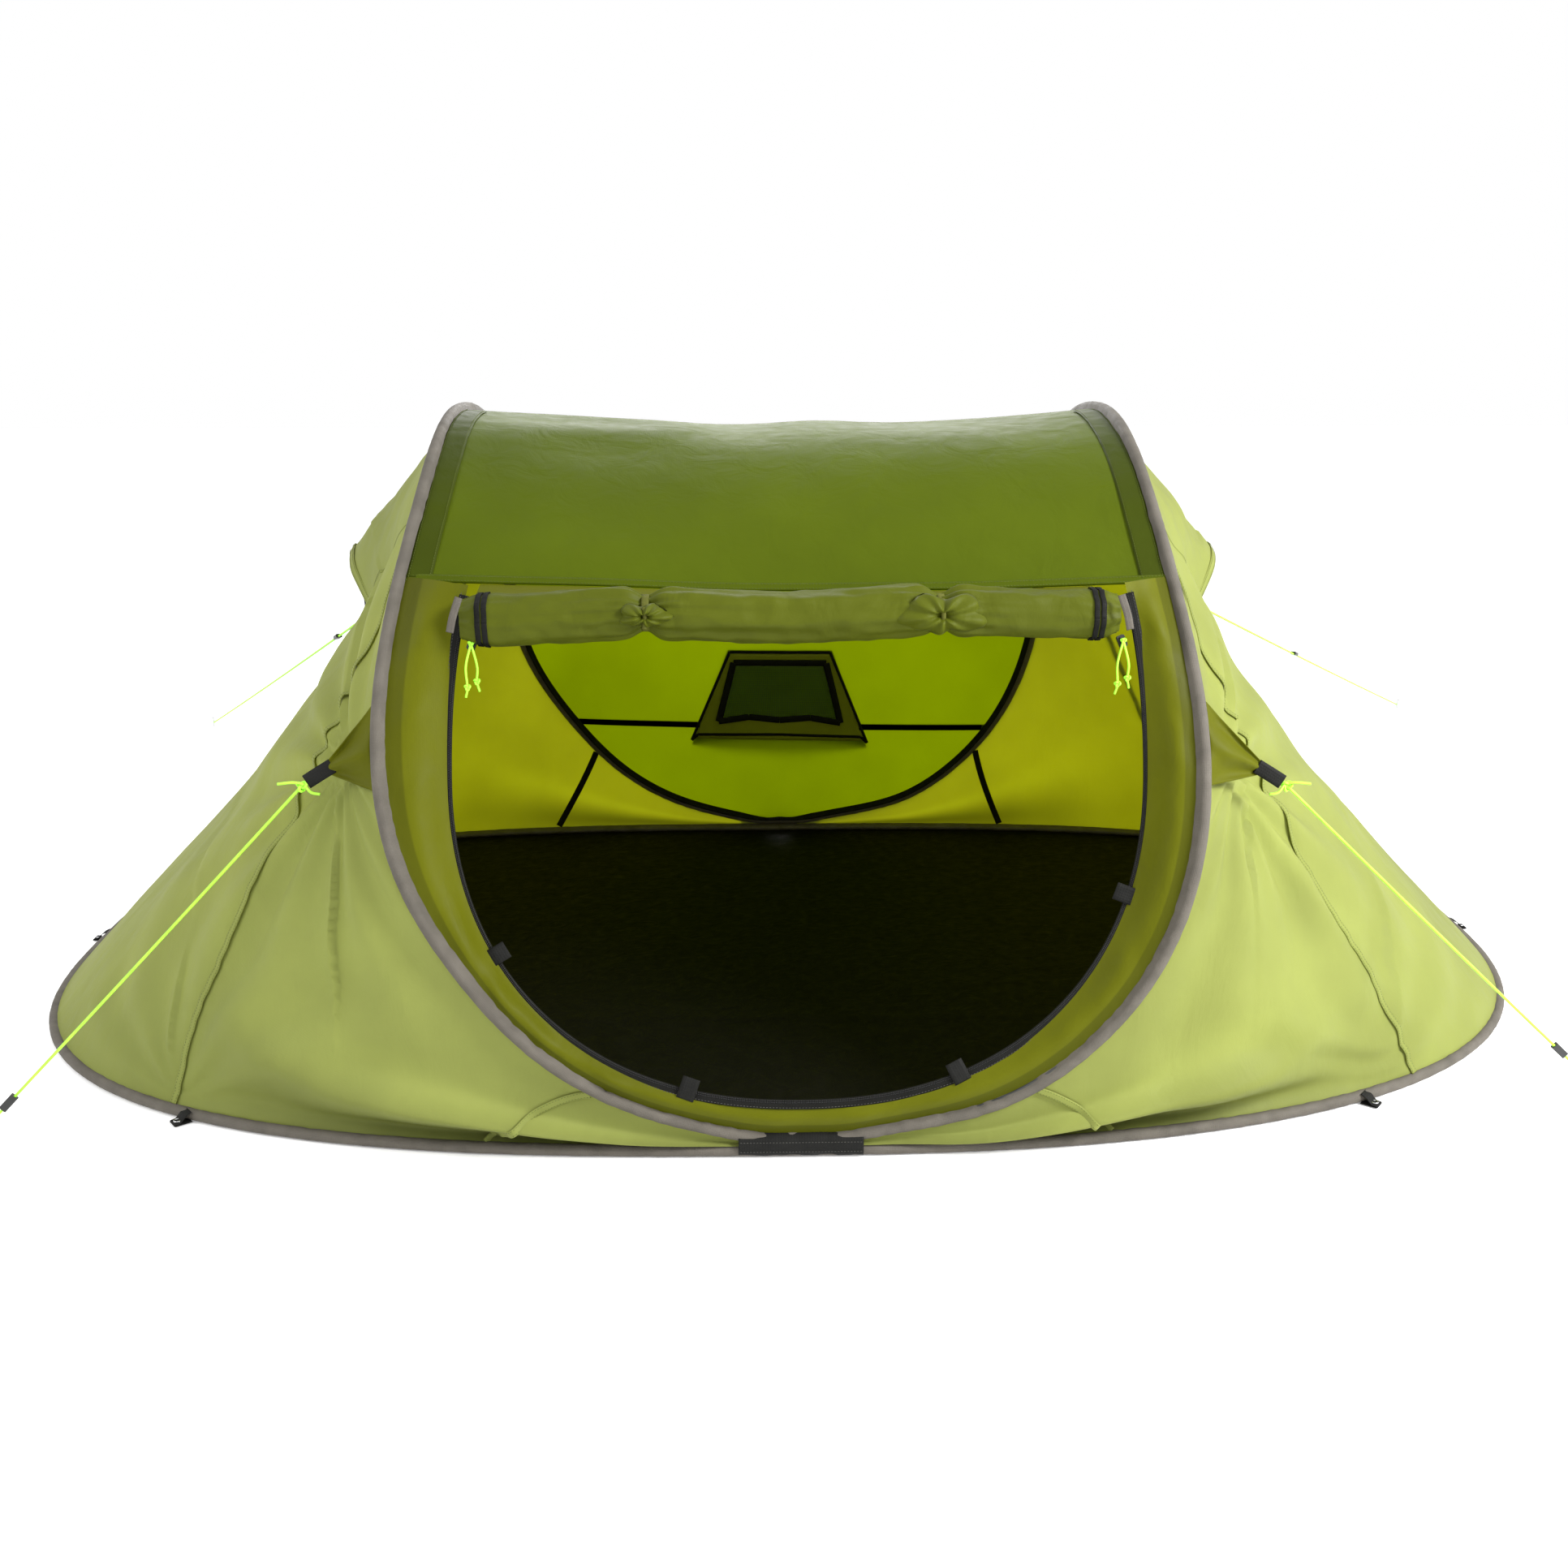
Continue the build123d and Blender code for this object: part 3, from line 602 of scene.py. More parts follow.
def door_edge(angle, grow=0.0, lift=0.0):
    """Points on the door's oval, in the door plane or lifted off it."""
    c, s = np.cos(angle), np.sin(angle)
    half = np.where(s > 0, DOOR_HALF_UP, DOOR_HALF_DOWN)
    reach = (np.abs(c / DOOR_HALF_WIDTH) ** DOOR_ROUNDNESS + np.abs(s / half) ** DOOR_ROUNDNESS)
    reach = (reach ** (-1 / DOOR_ROUNDNESS) + grow)[..., None]
    flat = np.array([1.0, 0, 0]) * reach * c[..., None] + DOOR_UP * reach * s[..., None]
    return DOOR_CENTRE + flat + DOOR_OUT * np.broadcast_to(lift, c.shape)[..., None]


FRONT_SEAM_T = {side: find_t(HOOP[side], 2, FRONT_SEAM_Z, 0.0, 0.5) for side in (-1, 1)}
REAR_SEAM_T = {side: find_t(HOOP[side], 2, REAR_SEAM_Z, 0.5, 1.0) for side in (-1, 1)}
print("front seam at", FRONT_SEAM_T)

# %% [markdown]
# ## Guy lines
# A tight line is nearly straight, so its route has three points: its ends and a middle that hangs a
# few millimetres.  A NURBS curve follows the route, and a round braid is laid along that curve.  Each
# line carries a runner and ends at its peg, which are pieces of the frame.

# %% Guy lines
ROPE_RADIUS = 0.002
ROPE_ROUTES = {
    "front_left": [(-0.664, -0.600, 0.498), (-0.900, -0.632, 0.252), (-1.136, -0.664, 0.012)],
    "front_right": [(0.661, -0.600, 0.489), (0.919, -0.5685, 0.2475), (1.177, -0.537, 0.012)],
    "rear_left": [(-0.740, 0.060, 0.592), (-1.1475, 0.875, 0.298), (-1.555, 1.690, 0.012)],
    "rear_right": [(0.724, 0.060, 0.612), (1.273, 0.9425, 0.308), (1.822, 1.825, 0.012)],
}


def nurbs_points(name, route, resolution=24):
    """Points along a smooth NURBS line whose control points are the route."""
    curve = bpy.data.curves.new(name, "CURVE")
    curve.dimensions = "3D"
    spline = curve.splines.new("NURBS")
    spline.points.add(len(route) - 1)
    for point, place in zip(spline.points, route):
        point.co = (*place, 1.0)
    spline.order_u = 3
    spline.use_endpoint_u = True
    spline.resolution_u = resolution
    holder = bpy.data.objects.new(name, curve)
    bpy.context.scene.collection.objects.link(holder)
    plain = bpy.data.meshes.new_from_object(holder.evaluated_get(bpy.context.evaluated_depsgraph_get()))
    points = np.array([v.co for v in plain.vertices])
    bpy.data.objects.remove(holder)
    return points


def tube_grid(line, toward, radius, sides=12):
    """A ring of points round each point of a line; angle 0 faces toward."""
    tangent = unit(np.gradient(line, axis=0))
    toward = np.broadcast_to(toward, line.shape)
    a = unit(toward - (toward * tangent).sum(1, keepdims=True) * tangent)
    b = np.cross(tangent, a)
    angle = np.linspace(0, 2 * math.pi, sides, endpoint=False)
    spokes = np.cos(angle)[None, :, None] * a[:, None] + np.sin(angle)[None, :, None] * b[:, None]
    radius = np.broadcast_to(radius, (len(line), sides))
    return line[:, None] + spokes * radius[..., None]


def closed_tube(name, line, toward, radius, sides=12, shade=None):
    """A tube with closed ends whose faces look outward."""
    grid = tube_grid(np.asarray(line, float), np.asarray(toward, float), radius, sides)
    mesh = grid_mesh(name, grid, wrap=True, caps=True, shade=shade)
    shell = bmesh.new()
    shell.from_mesh(mesh)
    bmesh.ops.recalc_face_normals(shell, faces=shell.faces)
    shell.to_mesh(mesh)
    shell.free()
    return mesh


def guy_line(place, route):
    """One guy line."""
    line = nurbs_points(f"guy_line_{place}", route)
    mesh = closed_tube(f"guy_line_{place}", line, (0, 0, 1), ROPE_RADIUS, 12)
    piece = finish_piece(f"guy_line_{place}", mesh, ROPE, [f"guy_rope_{place}"])


for place, route in ROPE_ROUTES.items():
    guy_line(place, route)

# %% [markdown]
# ## Side walls
# Each side is three gores of light green cloth: a front gore from the hoop's front foot to the first
# seam, a wide middle panel under the vent, and a rear gore.  Each is its own grid between two seams of
# the same surface, so the panels meet without a gap.

# %% Side gores
WORD = {-1: "left", 1: "right"}
SIDE_START_T, SIDE_END_T = 0.012, 0.988


def share_between(a, b, count):
    """Even steps from a to b, each a number or a row of numbers."""
    s = np.linspace(0, 1, count)[:, None]
    return a + (b - a) * s


def painted_shade_and_highlight_near_ring(v, t):
    """Painted shade on the side cloth in its tucked lower folds near the ring, and a painted highlight just
    above them.
    """
    end = np.minimum(t, 1 - t)
    # low is painted shade in the lower folds; lit is a painted highlight above them.
    low = np.exp(-((v - 0.90) / 0.15) ** 2) * np.exp(-((end - 0.10) / 0.12) ** 2)
    lit = np.exp(-((v - 0.63) / 0.09) ** 2) * np.exp(-((end - 0.14) / 0.12) ** 2)
    return 1 - 0.62 * low + 0.15 * lit


def side_panel(side, name, start, end, columns, stands_for):
    """One gore between two lines of t."""
    v = np.linspace(0, 1, 120)
    t = share_between(start + 0 * v, end + 0 * v, columns)
    v = np.broadcast_to(v, t.shape)
    grid = side_wall(side, t, v)[0]
    # Painted shade and painted highlight for this gore, kept in the shade attribute.
    shade = painted_shade_and_highlight_near_ring(v, t)
    turned = facing(grid, (side, 0, 0.3))
    shade = shade if turned is grid else shade[::-1]
    mesh = grid_mesh(name, turned, shade=shade)
    return finish_piece(name, mesh, LIGHT_CLOTH, [stands_for]), turned


v_line = np.linspace(0, 1, 120)
for side in (-1, 1):
    front, rear = seam_t(side, "front", v_line), seam_t(side, "rear", v_line)
    spans = {
        "front": (SIDE_START_T, front, 150, "side_front_gore"),
        "middle": (front, rear, 170, "side_middle_panel"),
        "rear": (rear, SIDE_END_T, 120, "side_rear_gore"),
    }
    for where, (start, end, columns, node) in spans.items():
        name = f"side_{where}_cloth_{WORD[side]}"
        side_panel(side, name, start, end, columns, f"{node}_{WORD[side]}")

# %% [markdown]
# ## Roof and rear wall
# Olive cloth is stretched from one leg of the hoop to the other.  A front seam ends the roof above the
# door, and a low seam divides the rear wall.

# %% Roof and rear panels
PEAK_T = 0.5
REAR_END_T = 0.985


def canopy_panel(name, start, end, rows, material, stands_for, outward):
    """A panel between two places along the hoop; each place is a t for the left and the right leg."""
    u = np.linspace(0, 1, 170)
    t = share_between(start, end, rows) + 0 * u
    grid = canopy(t, u)[0]
    mesh = grid_mesh(name, facing(grid, outward))
    piece = finish_piece(name, mesh, material, [stands_for])


front_t = (FRONT_SEAM_T[-1] + FRONT_SEAM_T[1]) / 2
rear_t = (REAR_SEAM_T[-1] + REAR_SEAM_T[1]) / 2
canopy_panel("roof_cloth", front_t, PEAK_T, 100, OLIVE_CLOTH, "roof_front_panel", (0, -0.5, 1))
canopy_panel("rear_upper_cloth", PEAK_T, rear_t, 130, OLIVE_CLOTH, "rear_upper_panel", (0, 1, 0.5))
canopy_panel("rear_lower_cloth", rear_t, REAR_END_T, 50, OLIVE_CLOTH, "rear_lower_panel", (0, 1, 0.2))

# %% [markdown]
# ## Door band
# Between the hoop and the zip lies a band of cloth, narrow at the bottom and wider at the sides.  Its
# rows run from a point on the hoop to the point of the oval at the same angle.

# %% Door band
BAND_STEPS = 260
BAND_TOP_Z = 0.748


def band_reach(side):
    """How far round the oval the band's inner edge goes, for each degree of its outer edge."""
    top = inset(HOOP[side](front_t))
    outer_turn = math.pi / 2 + math.atan2(top[2] - DOOR_CENTRE[2], abs(top[0]))
    turn = np.linspace(0.0, math.pi / 2, 900)
    inner_turn = math.pi / 2 + turn[np.abs(door_edge(turn, grow=0.004)[:, 2] - BAND_TOP_Z).argmin()]
    return inner_turn / outer_turn


t_left = np.linspace(front_t + 0.003, 0, BAND_STEPS // 2, endpoint=False)
t_right = np.linspace(0, front_t + 0.003, BAND_STEPS // 2)
outer = inset(np.concatenate([HOOP[-1](t_left), HOOP[1](t_right)]))
band_angle = np.arctan2(outer[:, 2] - DOOR_CENTRE[2], outer[:, 0])
turned = np.mod(band_angle + math.pi / 2, 2 * math.pi)
turned = np.where(turned > math.pi, turned - 2 * math.pi, turned)
turned = np.where(turned < 0, turned * band_reach(-1), turned * band_reach(1))
inner = door_edge(turned - math.pi / 2, grow=0.004)
share = np.linspace(0, 1, 28)[None, :, None]
band = outer[:, None] + (inner - outer)[:, None] * share
inside = np.sin(np.pi * share[..., 0])
pleats = noise3(np.stack([np.arange(BAND_STEPS)[:, None] * 0.22 + 0 * share[..., 0],
                          share[..., 0] * 1.5 + 0 * band[..., 0], band[..., 0] * 0], -1), 1.0, 21)
band = band + DOOR_OUT * (inside ** 2 * (0.010 + 0.0050 * pleats))[..., None]
# Painted shade: the outer third of the band, beside the hoop, is darkened in colour.
band_painted_shade = np.where(share[..., 0] < 0.32, 0.70, 1.0)
band_mesh = grid_mesh("door_band", facing(band, (0, -1, 0.3)), shade=band_painted_shade)
band_piece = finish_piece("door_band", band_mesh, BAND_CLOTH, ["door_surround"])
header_u = np.linspace(0.10, 0.90, 90)
header_top = canopy(front_t, header_u, -0.001)[0]
header_foot = np.stack([header_top[:, 0], 0 * header_u - 0.556, 0 * header_u + 0.736], -1)
header = header_top[:, None] + (header_foot - header_top)[:, None] * np.linspace(0, 1, 8)[None, :, None]
header_mesh = grid_mesh("door_header", facing(header, (0, -1, 0.3)))
finish_piece("door_header", header_mesh, BAND_CLOTH)

# %% [markdown]
# ## Groundsheet
# The floor lies flat inside the ring, with shallow creases from being folded.  Its outline is the ring
# itself, filled with rings of points that shrink to the middle.

# %% Groundsheet
FLOOR_TOP = 0.0022
CREASE = 0.0016


def floor_grid():
    """Rings of points from the middle out to the ring."""
    t = np.linspace(0, 1, 160, endpoint=False)
    rim = np.concatenate([ring(1, t), ring(-1, 1 - t)])
    middle = np.array([0.0, RING_WIDEST_Y, 0.0])
    flat = (rim - middle) * np.array([1, 1, 0])
    flat *= 1 - 0.006 / np.linalg.norm(flat, axis=1, keepdims=True)
    share = np.linspace(0.002, 1, 90)[:, None, None]
    grid = middle + flat[None] * share
    crow = noise3(grid * np.array([1.6, 1.0, 1.0]), 16.0, 31) + 0.6 * noise3(grid, 34.0, 32)
    fold = np.exp(-((grid[..., 0] - 0.02) / 0.012) ** 2) + np.exp(-((grid[..., 1] + 0.28) / 0.012) ** 2)
    grid[..., 2] = FLOOR_TOP + CREASE * (1 + crow) * 0.5 + 0.0015 * fold
    return grid


floor_mesh = grid_mesh("groundsheet_cloth", floor_grid(), wrap=True)
floor_shell = bmesh.new()
floor_shell.from_mesh(floor_mesh)
floor_shell.verts.ensure_lookup_table()
floor_shell.faces.new(floor_shell.verts[:320])
bmesh.ops.recalc_face_normals(floor_shell, faces=floor_shell.faces)
if sum(f.normal.z for f in floor_shell.faces) < 0:
    bmesh.ops.reverse_faces(floor_shell, faces=floor_shell.faces)
floor_shell.to_mesh(floor_mesh)
floor_shell.free()
floor_piece = finish_piece("groundsheet_cloth", floor_mesh, GROUNDSHEET, ["groundsheet"])
thicken(floor_piece, 0.0009, -1.0)

# %% [markdown]
# ## Sleeves
# A grey binding is folded round each rod and sewn along its inner edge.  Its section is a circle with
# a flat flange towards the canopy, and it puckers where the thread draws it together.

# %% Sleeves
SLEEVE_RADIUS = 0.0082
FLANGE = 0.006
SLEEVE_SIDES = 22


def sleeve_radius(line, pucker, seed):
    """The sleeve's radius at each point and angle."""
    angle = np.linspace(0, 2 * math.pi, SLEEVE_SIDES, endpoint=False)
    angle = np.minimum(angle, 2 * math.pi - angle)[None, :]
    reach = np.concatenate([[0.0], np.cumsum(np.linalg.norm(np.diff(line, axis=0), axis=1))])[:, None]
    flange = np.exp(-(angle / 0.42) ** 2)
    grid = np.stack([reach * 95 + 0 * angle, 1.5 * np.cos(angle) + 0 * reach, 0 * reach + 0 * angle], -1)
    gather = noise3(grid, 1.0, seed)
    return SLEEVE_RADIUS + FLANGE * flange + pucker * gather * (0.35 + 0.65 * np.exp(-(angle / 1.2) ** 2))


def sleeve(name, line, toward, pucker, stands_for, seed):
    """One half's binding."""
    radius = sleeve_radius(line, pucker, seed)
    mesh = closed_tube(name, line, toward, radius, SLEEVE_SIDES)
    return finish_piece(name, mesh, GREY_BINDING, [stands_for])


for side in (-1, 1):
    t = np.linspace(0, 1, 1100)
    hoop_line = HOOP[side](t)
    focus = np.stack([0 * t, hoop_line[:, 1] * 0.55, 0 * t + CANOPY_FOCUS_Z], 1)
    pucker = 0.0007 + 0.0012 * np.exp(-(hoop_line[:, 2:] / 0.25) ** 2)
    sleeve(f"hoop_binding_{WORD[side]}", hoop_line, focus - hoop_line, pucker,
           f"hoop_sleeve_{WORD[side]}", 40 + side)
    ring_line = ring(side, t)
    inward = np.array([0.0, RING_WIDEST_Y, 0.30]) - ring_line
    sleeve(f"ring_binding_{WORD[side]}", ring_line, inward * np.array([1, 1, 0.4]), 0.0010,
           f"ring_sleeve_{WORD[side]}", 43 + side)

# %% [markdown]
# ## Ribbons
# Tapes, hems and webbing are flat strips that lie on another surface.  A ribbon is a grid a few points
# wide, carried along a line and turned by the surface's normals.


# %% Ribbon helper
def ribbon_grid(line, normal, width, lift=0.0, columns=4, crown=0.0):
    """A strip of a width along a line, lying on a surface with those normals."""
    line, normal = np.asarray(line, float), unit(np.broadcast_to(normal, np.shape(line)))
    tangent = unit(np.gradient(line, axis=0))
    across = unit(np.cross(normal, tangent))
    s = np.linspace(-0.5, 0.5, columns)
    arch = lift + crown * (1 - (2 * s) ** 2)
    width = np.broadcast_to(np.asarray(width, float).reshape(-1, 1, 1), (len(line), 1, 1))
    return line[:, None] + across[:, None] * width * s[None, :, None] + normal[:, None] * arch[None, :, None]


def ribbon(name, line, normal, width, lift=0.0, columns=4, crown=0.0, shade=None):
    """A strip as a mesh that looks the way its normals do."""
    grid = ribbon_grid(line, normal, width, lift, columns, crown)
    mean = np.broadcast_to(normal, np.shape(line)).mean(axis=0)
    return grid_mesh(name, facing(grid, mean), shade=shade)


def smooth(points, count=60):
    """A soft line through a few points, at even steps."""
    p = np.array(points, float)
    ends = np.concatenate([[2 * p[0] - p[1]], p, [2 * p[-1] - p[-2]]])
    s = np.linspace(0, 1, 16, endpoint=False)[:, None]
    spans = []
    for a, b, c, d in zip(ends, ends[1:], ends[2:], ends[3:]):
        spans.append(0.5 * (2 * b + (c - a) * s + (2 * a - 5 * b + 4 * c - d) * s ** 2
                            + (3 * b - a - 3 * c + d) * s ** 3))
    return track(np.concatenate([*spans, p[-1:]]))(np.linspace(0, 1, count))


print("ribbon helper ready")

# %% [markdown]
# ## Stitches and zip teeth
# Thread shows as a row of small beads of the same size and spacing, which is what Geometry Nodes are
# for.  The tree turns a line into points at a fixed pitch, sets one bead on each, turned along the
# line, and makes them real.  The zip's teeth use the same tree with other sizes.

# %% Row tree
def row_tree():
    """Beads along lines: inputs are pitch, size and finish."""
    tree = bpy.data.node_groups.new("bead row", "GeometryNodeTree")
    face = tree.interface
    face.new_socket("Geometry", in_out="INPUT", socket_type="NodeSocketGeometry")
    face.new_socket("Pitch", in_out="INPUT", socket_type="NodeSocketFloat")
    face.new_socket("Size", in_out="INPUT", socket_type="NodeSocketVector")
    face.new_socket("Finish", in_out="INPUT", socket_type="NodeSocketMaterial")
    face.new_socket("Geometry", in_out="OUTPUT", socket_type="NodeSocketGeometry")
    nodes = {}
    for key, kind in {
        "in": "NodeGroupInput", "curve": "GeometryNodeMeshToCurve", "points": "GeometryNodeCurveToPoints",
        "bead": "GeometryNodeMeshUVSphere", "turn": "FunctionNodeAlignRotationToVector",
        "set": "GeometryNodeInstanceOnPoints", "real": "GeometryNodeRealizeInstances",
        "smooth": "GeometryNodeSetShadeSmooth", "dress": "GeometryNodeSetMaterial", "out": "NodeGroupOutput",
    }.items():
        nodes[key] = tree.nodes.new(kind)
    nodes["points"].mode = "LENGTH"
    nodes["turn"].axis = "X"
    nodes["bead"].inputs["Segments"].default_value = 6
    nodes["bead"].inputs["Rings"].default_value = 4
    nodes["bead"].inputs["Radius"].default_value = 0.5
    for a, b, c, d in [
        ("in", "Geometry", "curve", "Mesh"), ("curve", "Curve", "points", "Curve"),
        ("in", "Pitch", "points", "Length"), ("points", "Points", "set", "Points"),
        ("points", "Tangent", "turn", "Vector"), ("turn", "Rotation", "set", "Rotation"),
        ("bead", "Mesh", "set", "Instance"), ("in", "Size", "set", "Scale"),
        ("set", "Instances", "real", "Geometry"), ("real", "Geometry", "smooth", "Geometry"),
        ("smooth", "Geometry", "dress", "Geometry"), ("in", "Finish", "dress", "Material"),
        ("dress", "Geometry", "out", "Geometry"),
    ]:
        tree.links.new(nodes[a].outputs[b], nodes[c].inputs[d])
    return tree


ROW_TREE = row_tree()
ROW_INPUT = {item.name: item.identifier for item in ROW_TREE.interface.items_tree if item.in_out == "INPUT"}


def bead_row(name, lines, pitch, size, material, stands_for=(), body="tent"):
    """A piece made of beads along one or more lines."""
    points, edges = [], []
    for line in lines:
        first = len(points)
        points += [tuple(p) for p in line]
        edges += [(first + k, first + k + 1) for k in range(len(line) - 1)]
    mesh = bpy.data.meshes.new(name + "_lines")
    mesh.from_pydata(points, edges, [])
    holder = bpy.data.objects.new(name + "_lines", mesh)
    bpy.context.scene.collection.objects.link(holder)
    rows = holder.modifiers.new("beads", "NODES")
    rows.node_group = ROW_TREE
    rows[ROW_INPUT["Pitch"]] = pitch
    rows[ROW_INPUT["Size"]] = size
    rows[ROW_INPUT["Finish"]] = material
    result = bpy.data.meshes.new_from_object(holder.evaluated_get(bpy.context.evaluated_depsgraph_get()))
    bpy.data.objects.remove(holder)
    return finish_piece(name, result, material, stands_for, body)


STITCH = (0.0030, 0.0009, 0.0009)
STITCH_PITCH = 0.0044
print("row tree inputs", ROW_INPUT)

# %% [markdown]
# ## Seams of the side walls
# Two edges are folded into each other and sewn twice.  The fold is a thin strip that stands a little
# proud, and the two rows of thread run near its edges.

# %% Side seams
SEAM_WIDTH = 0.011
SEAM_LIFT = 0.0024
THREAD_LIFT = 0.0032
THREAD_GAP = 0.0034


def offset_line(line, normal, sideways, lift):
    """A line moved sideways and off its surface."""
    across = unit(np.cross(normal, unit(np.gradient(line, axis=0))))
    return line + across * sideways + normal * lift


for side in (-1, 1):
    strips, rows = [], []
    v = np.linspace(0.004, 0.996, 240)
    foot_top = find_t(HOOP[side], 2, 0.100, 0.0, 0.5)
    foot_end = find_t(lambda t: ring(side, t), 0, side * 0.434, 0.0, 0.5)
    for seam in (seam_t(side, "front", v), seam_t(side, "rear", v), foot_top + (foot_end - foot_top) * v):
        line, normal = side_wall(side, seam, v)
        strips.append(ribbon("seam", line, normal, SEAM_WIDTH, SEAM_LIFT, 5, 0.0004))
        rows += [offset_line(line, normal, gap, THREAD_LIFT) for gap in (-THREAD_GAP, THREAD_GAP)]
    seam = finish_piece(f"side_seam_folds_{WORD[side]}", strips, LIGHT_CLOTH)
    thicken(seam, 0.0012)
    bead_row(f"side_seam_thread_{WORD[side]}", rows, STITCH_PITCH, STITCH, THREAD)

# %% [markdown]
# ## Seams of the roof, and hems along the hoop
# Where the roof and the door band meet the hoop the cloth is doubled, and painted shade darkens the hem
# there.
# The roof ends in a sewn seam above the door.

# %% Hems and front seam
HEM_WIDTH = 0.034


def hem_strip(side, start, end):
    """A doubled edge of the roof beside the hoop."""
    t = np.linspace(start, end, 160)
    u_gap = (HEM_WIDTH / 2 + 0.004) / 1.05
    u = u_gap if side < 0 else 1 - u_gap
    line, normal = canopy(t, u)
    # Painted shade: the doubled hem beside the hoop is darkened in colour.
    return ribbon("hem", line, normal, HEM_WIDTH, 0.0016, 7, shade=0.62), line, normal


hems, hem_rows = [], []
for side in (-1, 1):
    mesh, line, normal = hem_strip(side, front_t + 0.002, 0.50)
    hems.append(mesh)
    hem_rows.append(offset_line(line, normal, HEM_WIDTH / 2 - 0.003, 0.0026))
    hem_rows.append(offset_line(line, normal, 0.003 - HEM_WIDTH / 2, 0.0026))
hem_piece = finish_piece("canopy_hems", hems, OLIVE_CLOTH)
thicken(hem_piece)
u = np.linspace(0.004, 0.996, 200)
seam_strips = []
for place, shift in ((front_t + 0.002, 0.0), (rear_t, 0.0)):
    line, normal = canopy(place, u)
    seam_strips.append(ribbon("seam", line, normal, 0.012, 0.0014, 5, 0.0004))
    hem_rows += [offset_line(line, normal, gap, 0.0024) for gap in (-0.0036, 0.0036)]
thicken(finish_piece("canopy_cross_seams", seam_strips, OLIVE_CLOTH), 0.0012)
bead_row("canopy_thread", hem_rows, STITCH_PITCH, STITCH, THREAD)

# %% [markdown]
# ## Door zip
# A black zip tape follows the oval from one end of the roll round to the other, with its coil along
# the inner edge and a row of thread along the outer one.

# %% Door zip
ZIP_TAPE = 0.013
angles = np.linspace(ZIP_START, ZIP_END, 420)
tape_line = door_edge(angles, grow=0.0060, lift=0.0002)
tape = ribbon("door_zip_black_tape", tape_line, DOOR_OUT, ZIP_TAPE, 0, 5, 0.0002)
thicken(finish_piece("door_zip_black_tape", tape, BLACK_TAPE, ["door_zip_tape"]), 0.0011)
coil = [door_edge(angles, grow=gap, lift=0.0010) for gap in (0.0012, 0.0034)]
bead_row("door_zip_coil", coil, 0.0024, (0.0016, 0.0026, 0.0014), BLACK_PLASTIC)
edge_rows = [door_edge(angles, grow=0.0105, lift=0.0010)]
bead_row("door_zip_thread", edge_rows, STITCH_PITCH, STITCH, GREY_THREAD)

# %% [markdown]
# ## Rolled door
# The door is wound up from the bottom and tied in two places.  The roll is a tube whose radius falls
# sharply at each tie; pleats run out from there along the roll like a wrapped sweet.

# %% Rolled door
ROLL_RADIUS, ROLL_Y, ROLL_Z = 0.033, -0.548, 0.716
ROLL_ENDS = (-0.450, 0.430)
TIE_X = (-0.204, 0.190)


def roll_points(x, angle, lift=0.0):
    """Points of the roll's skin, or a little off it."""
    x, angle = np.broadcast_arrays(x, angle)
    spot = np.stack([x * 2.2, np.cos(angle), np.sin(angle)], -1)
    radius = ROLL_RADIUS + 0.0010 + 0.0042 * noise3(spot, 2.4, 51)
    radius = radius + 0.0020 * noise3(spot * np.array([7, 1, 1]), 3.0, 52)
    for tie in TIE_X:
        gap = x - tie
        pinch, wide = np.exp(-(gap / 0.017) ** 2), np.exp(-np.abs(gap) / 0.050)
        pleats = np.cos(13 * angle + 5 * np.sign(gap) + 2 * noise3(spot, 1.5, 53))
        radius = radius - 0.0125 * pinch + 0.0036 * wide * (1 - 0.4 * pinch) * pleats
    for end in ROLL_ENDS:
        radius = radius - 0.009 * np.exp(-(np.abs(x - end) / 0.014) ** 2)
        radius = radius + 0.0020 * np.exp(-np.abs(x - end) / 0.05) * np.cos(9 * angle + 1.3)
    sag = 0.0030 * np.cos((x - TIE_X[0]) * 2 * math.pi / (TIE_X[1] - TIE_X[0])) + 0.004 * x
    y = ROLL_Y - (radius + lift) * np.cos(angle)
    return np.stack([x, y, ROLL_Z + sag + (radius + lift) * np.sin(angle)], -1)


ROLL_TURN = np.linspace(0, 2 * math.pi, 96, endpoint=False)
roll_skin = roll_points(np.linspace(*ROLL_ENDS, 330)[:, None], ROLL_TURN[None, :])
roll_mesh = grid_mesh("rolled_door_cloth", roll_skin, wrap=True, caps=True)
roll_shell = bmesh.new()
roll_shell.from_mesh(roll_mesh)
bmesh.ops.recalc_face_normals(roll_shell, faces=roll_shell.faces)
roll_shell.to_mesh(roll_mesh)
roll_shell.free()
finish_piece("rolled_door_cloth", roll_mesh, ROLL_CLOTH, ["rolled_door"])

# %% [markdown]
# ## Ties, and the bunches they make
# A short tape goes round the roll and a toggle closes it in front.  The cloth that it gathers stands
# out as a small pleated bunch on each side of the toggle.

# %% Ties and bunches
BUNCH_FOLDS = 9


def bunch(x, size, seed):
    """A pleated puff of cloth in front of the roll."""
    angle = np.linspace(0, 2 * math.pi, 90, endpoint=False)[None, :]
    r = np.linspace(0.03, 1, 22)[:, None]
    lobe = size * (1 + 0.30 * np.cos(2 * angle) + 0.12 * np.cos(5 * angle + seed))
    pleat = 0.0042 * np.cos(BUNCH_FOLDS * angle + seed) * r
    dome = 0.024 * np.sqrt(np.clip(1 - (r * 0.98) ** 2, 0, 1)) * (1 - 0.60 * np.exp(-(r / 0.22) ** 2))
    px = x + lobe * r * np.cos(angle)
    pz = ROLL_Z + 0.004 + 0.72 * lobe * r * np.sin(angle)
    py = ROLL_Y - ROLL_RADIUS + 0.008 - dome - pleat
    return grid_mesh("bunch", facing(np.stack([px, py, pz], -1), (0, -1, 0)), wrap=True, caps=True)


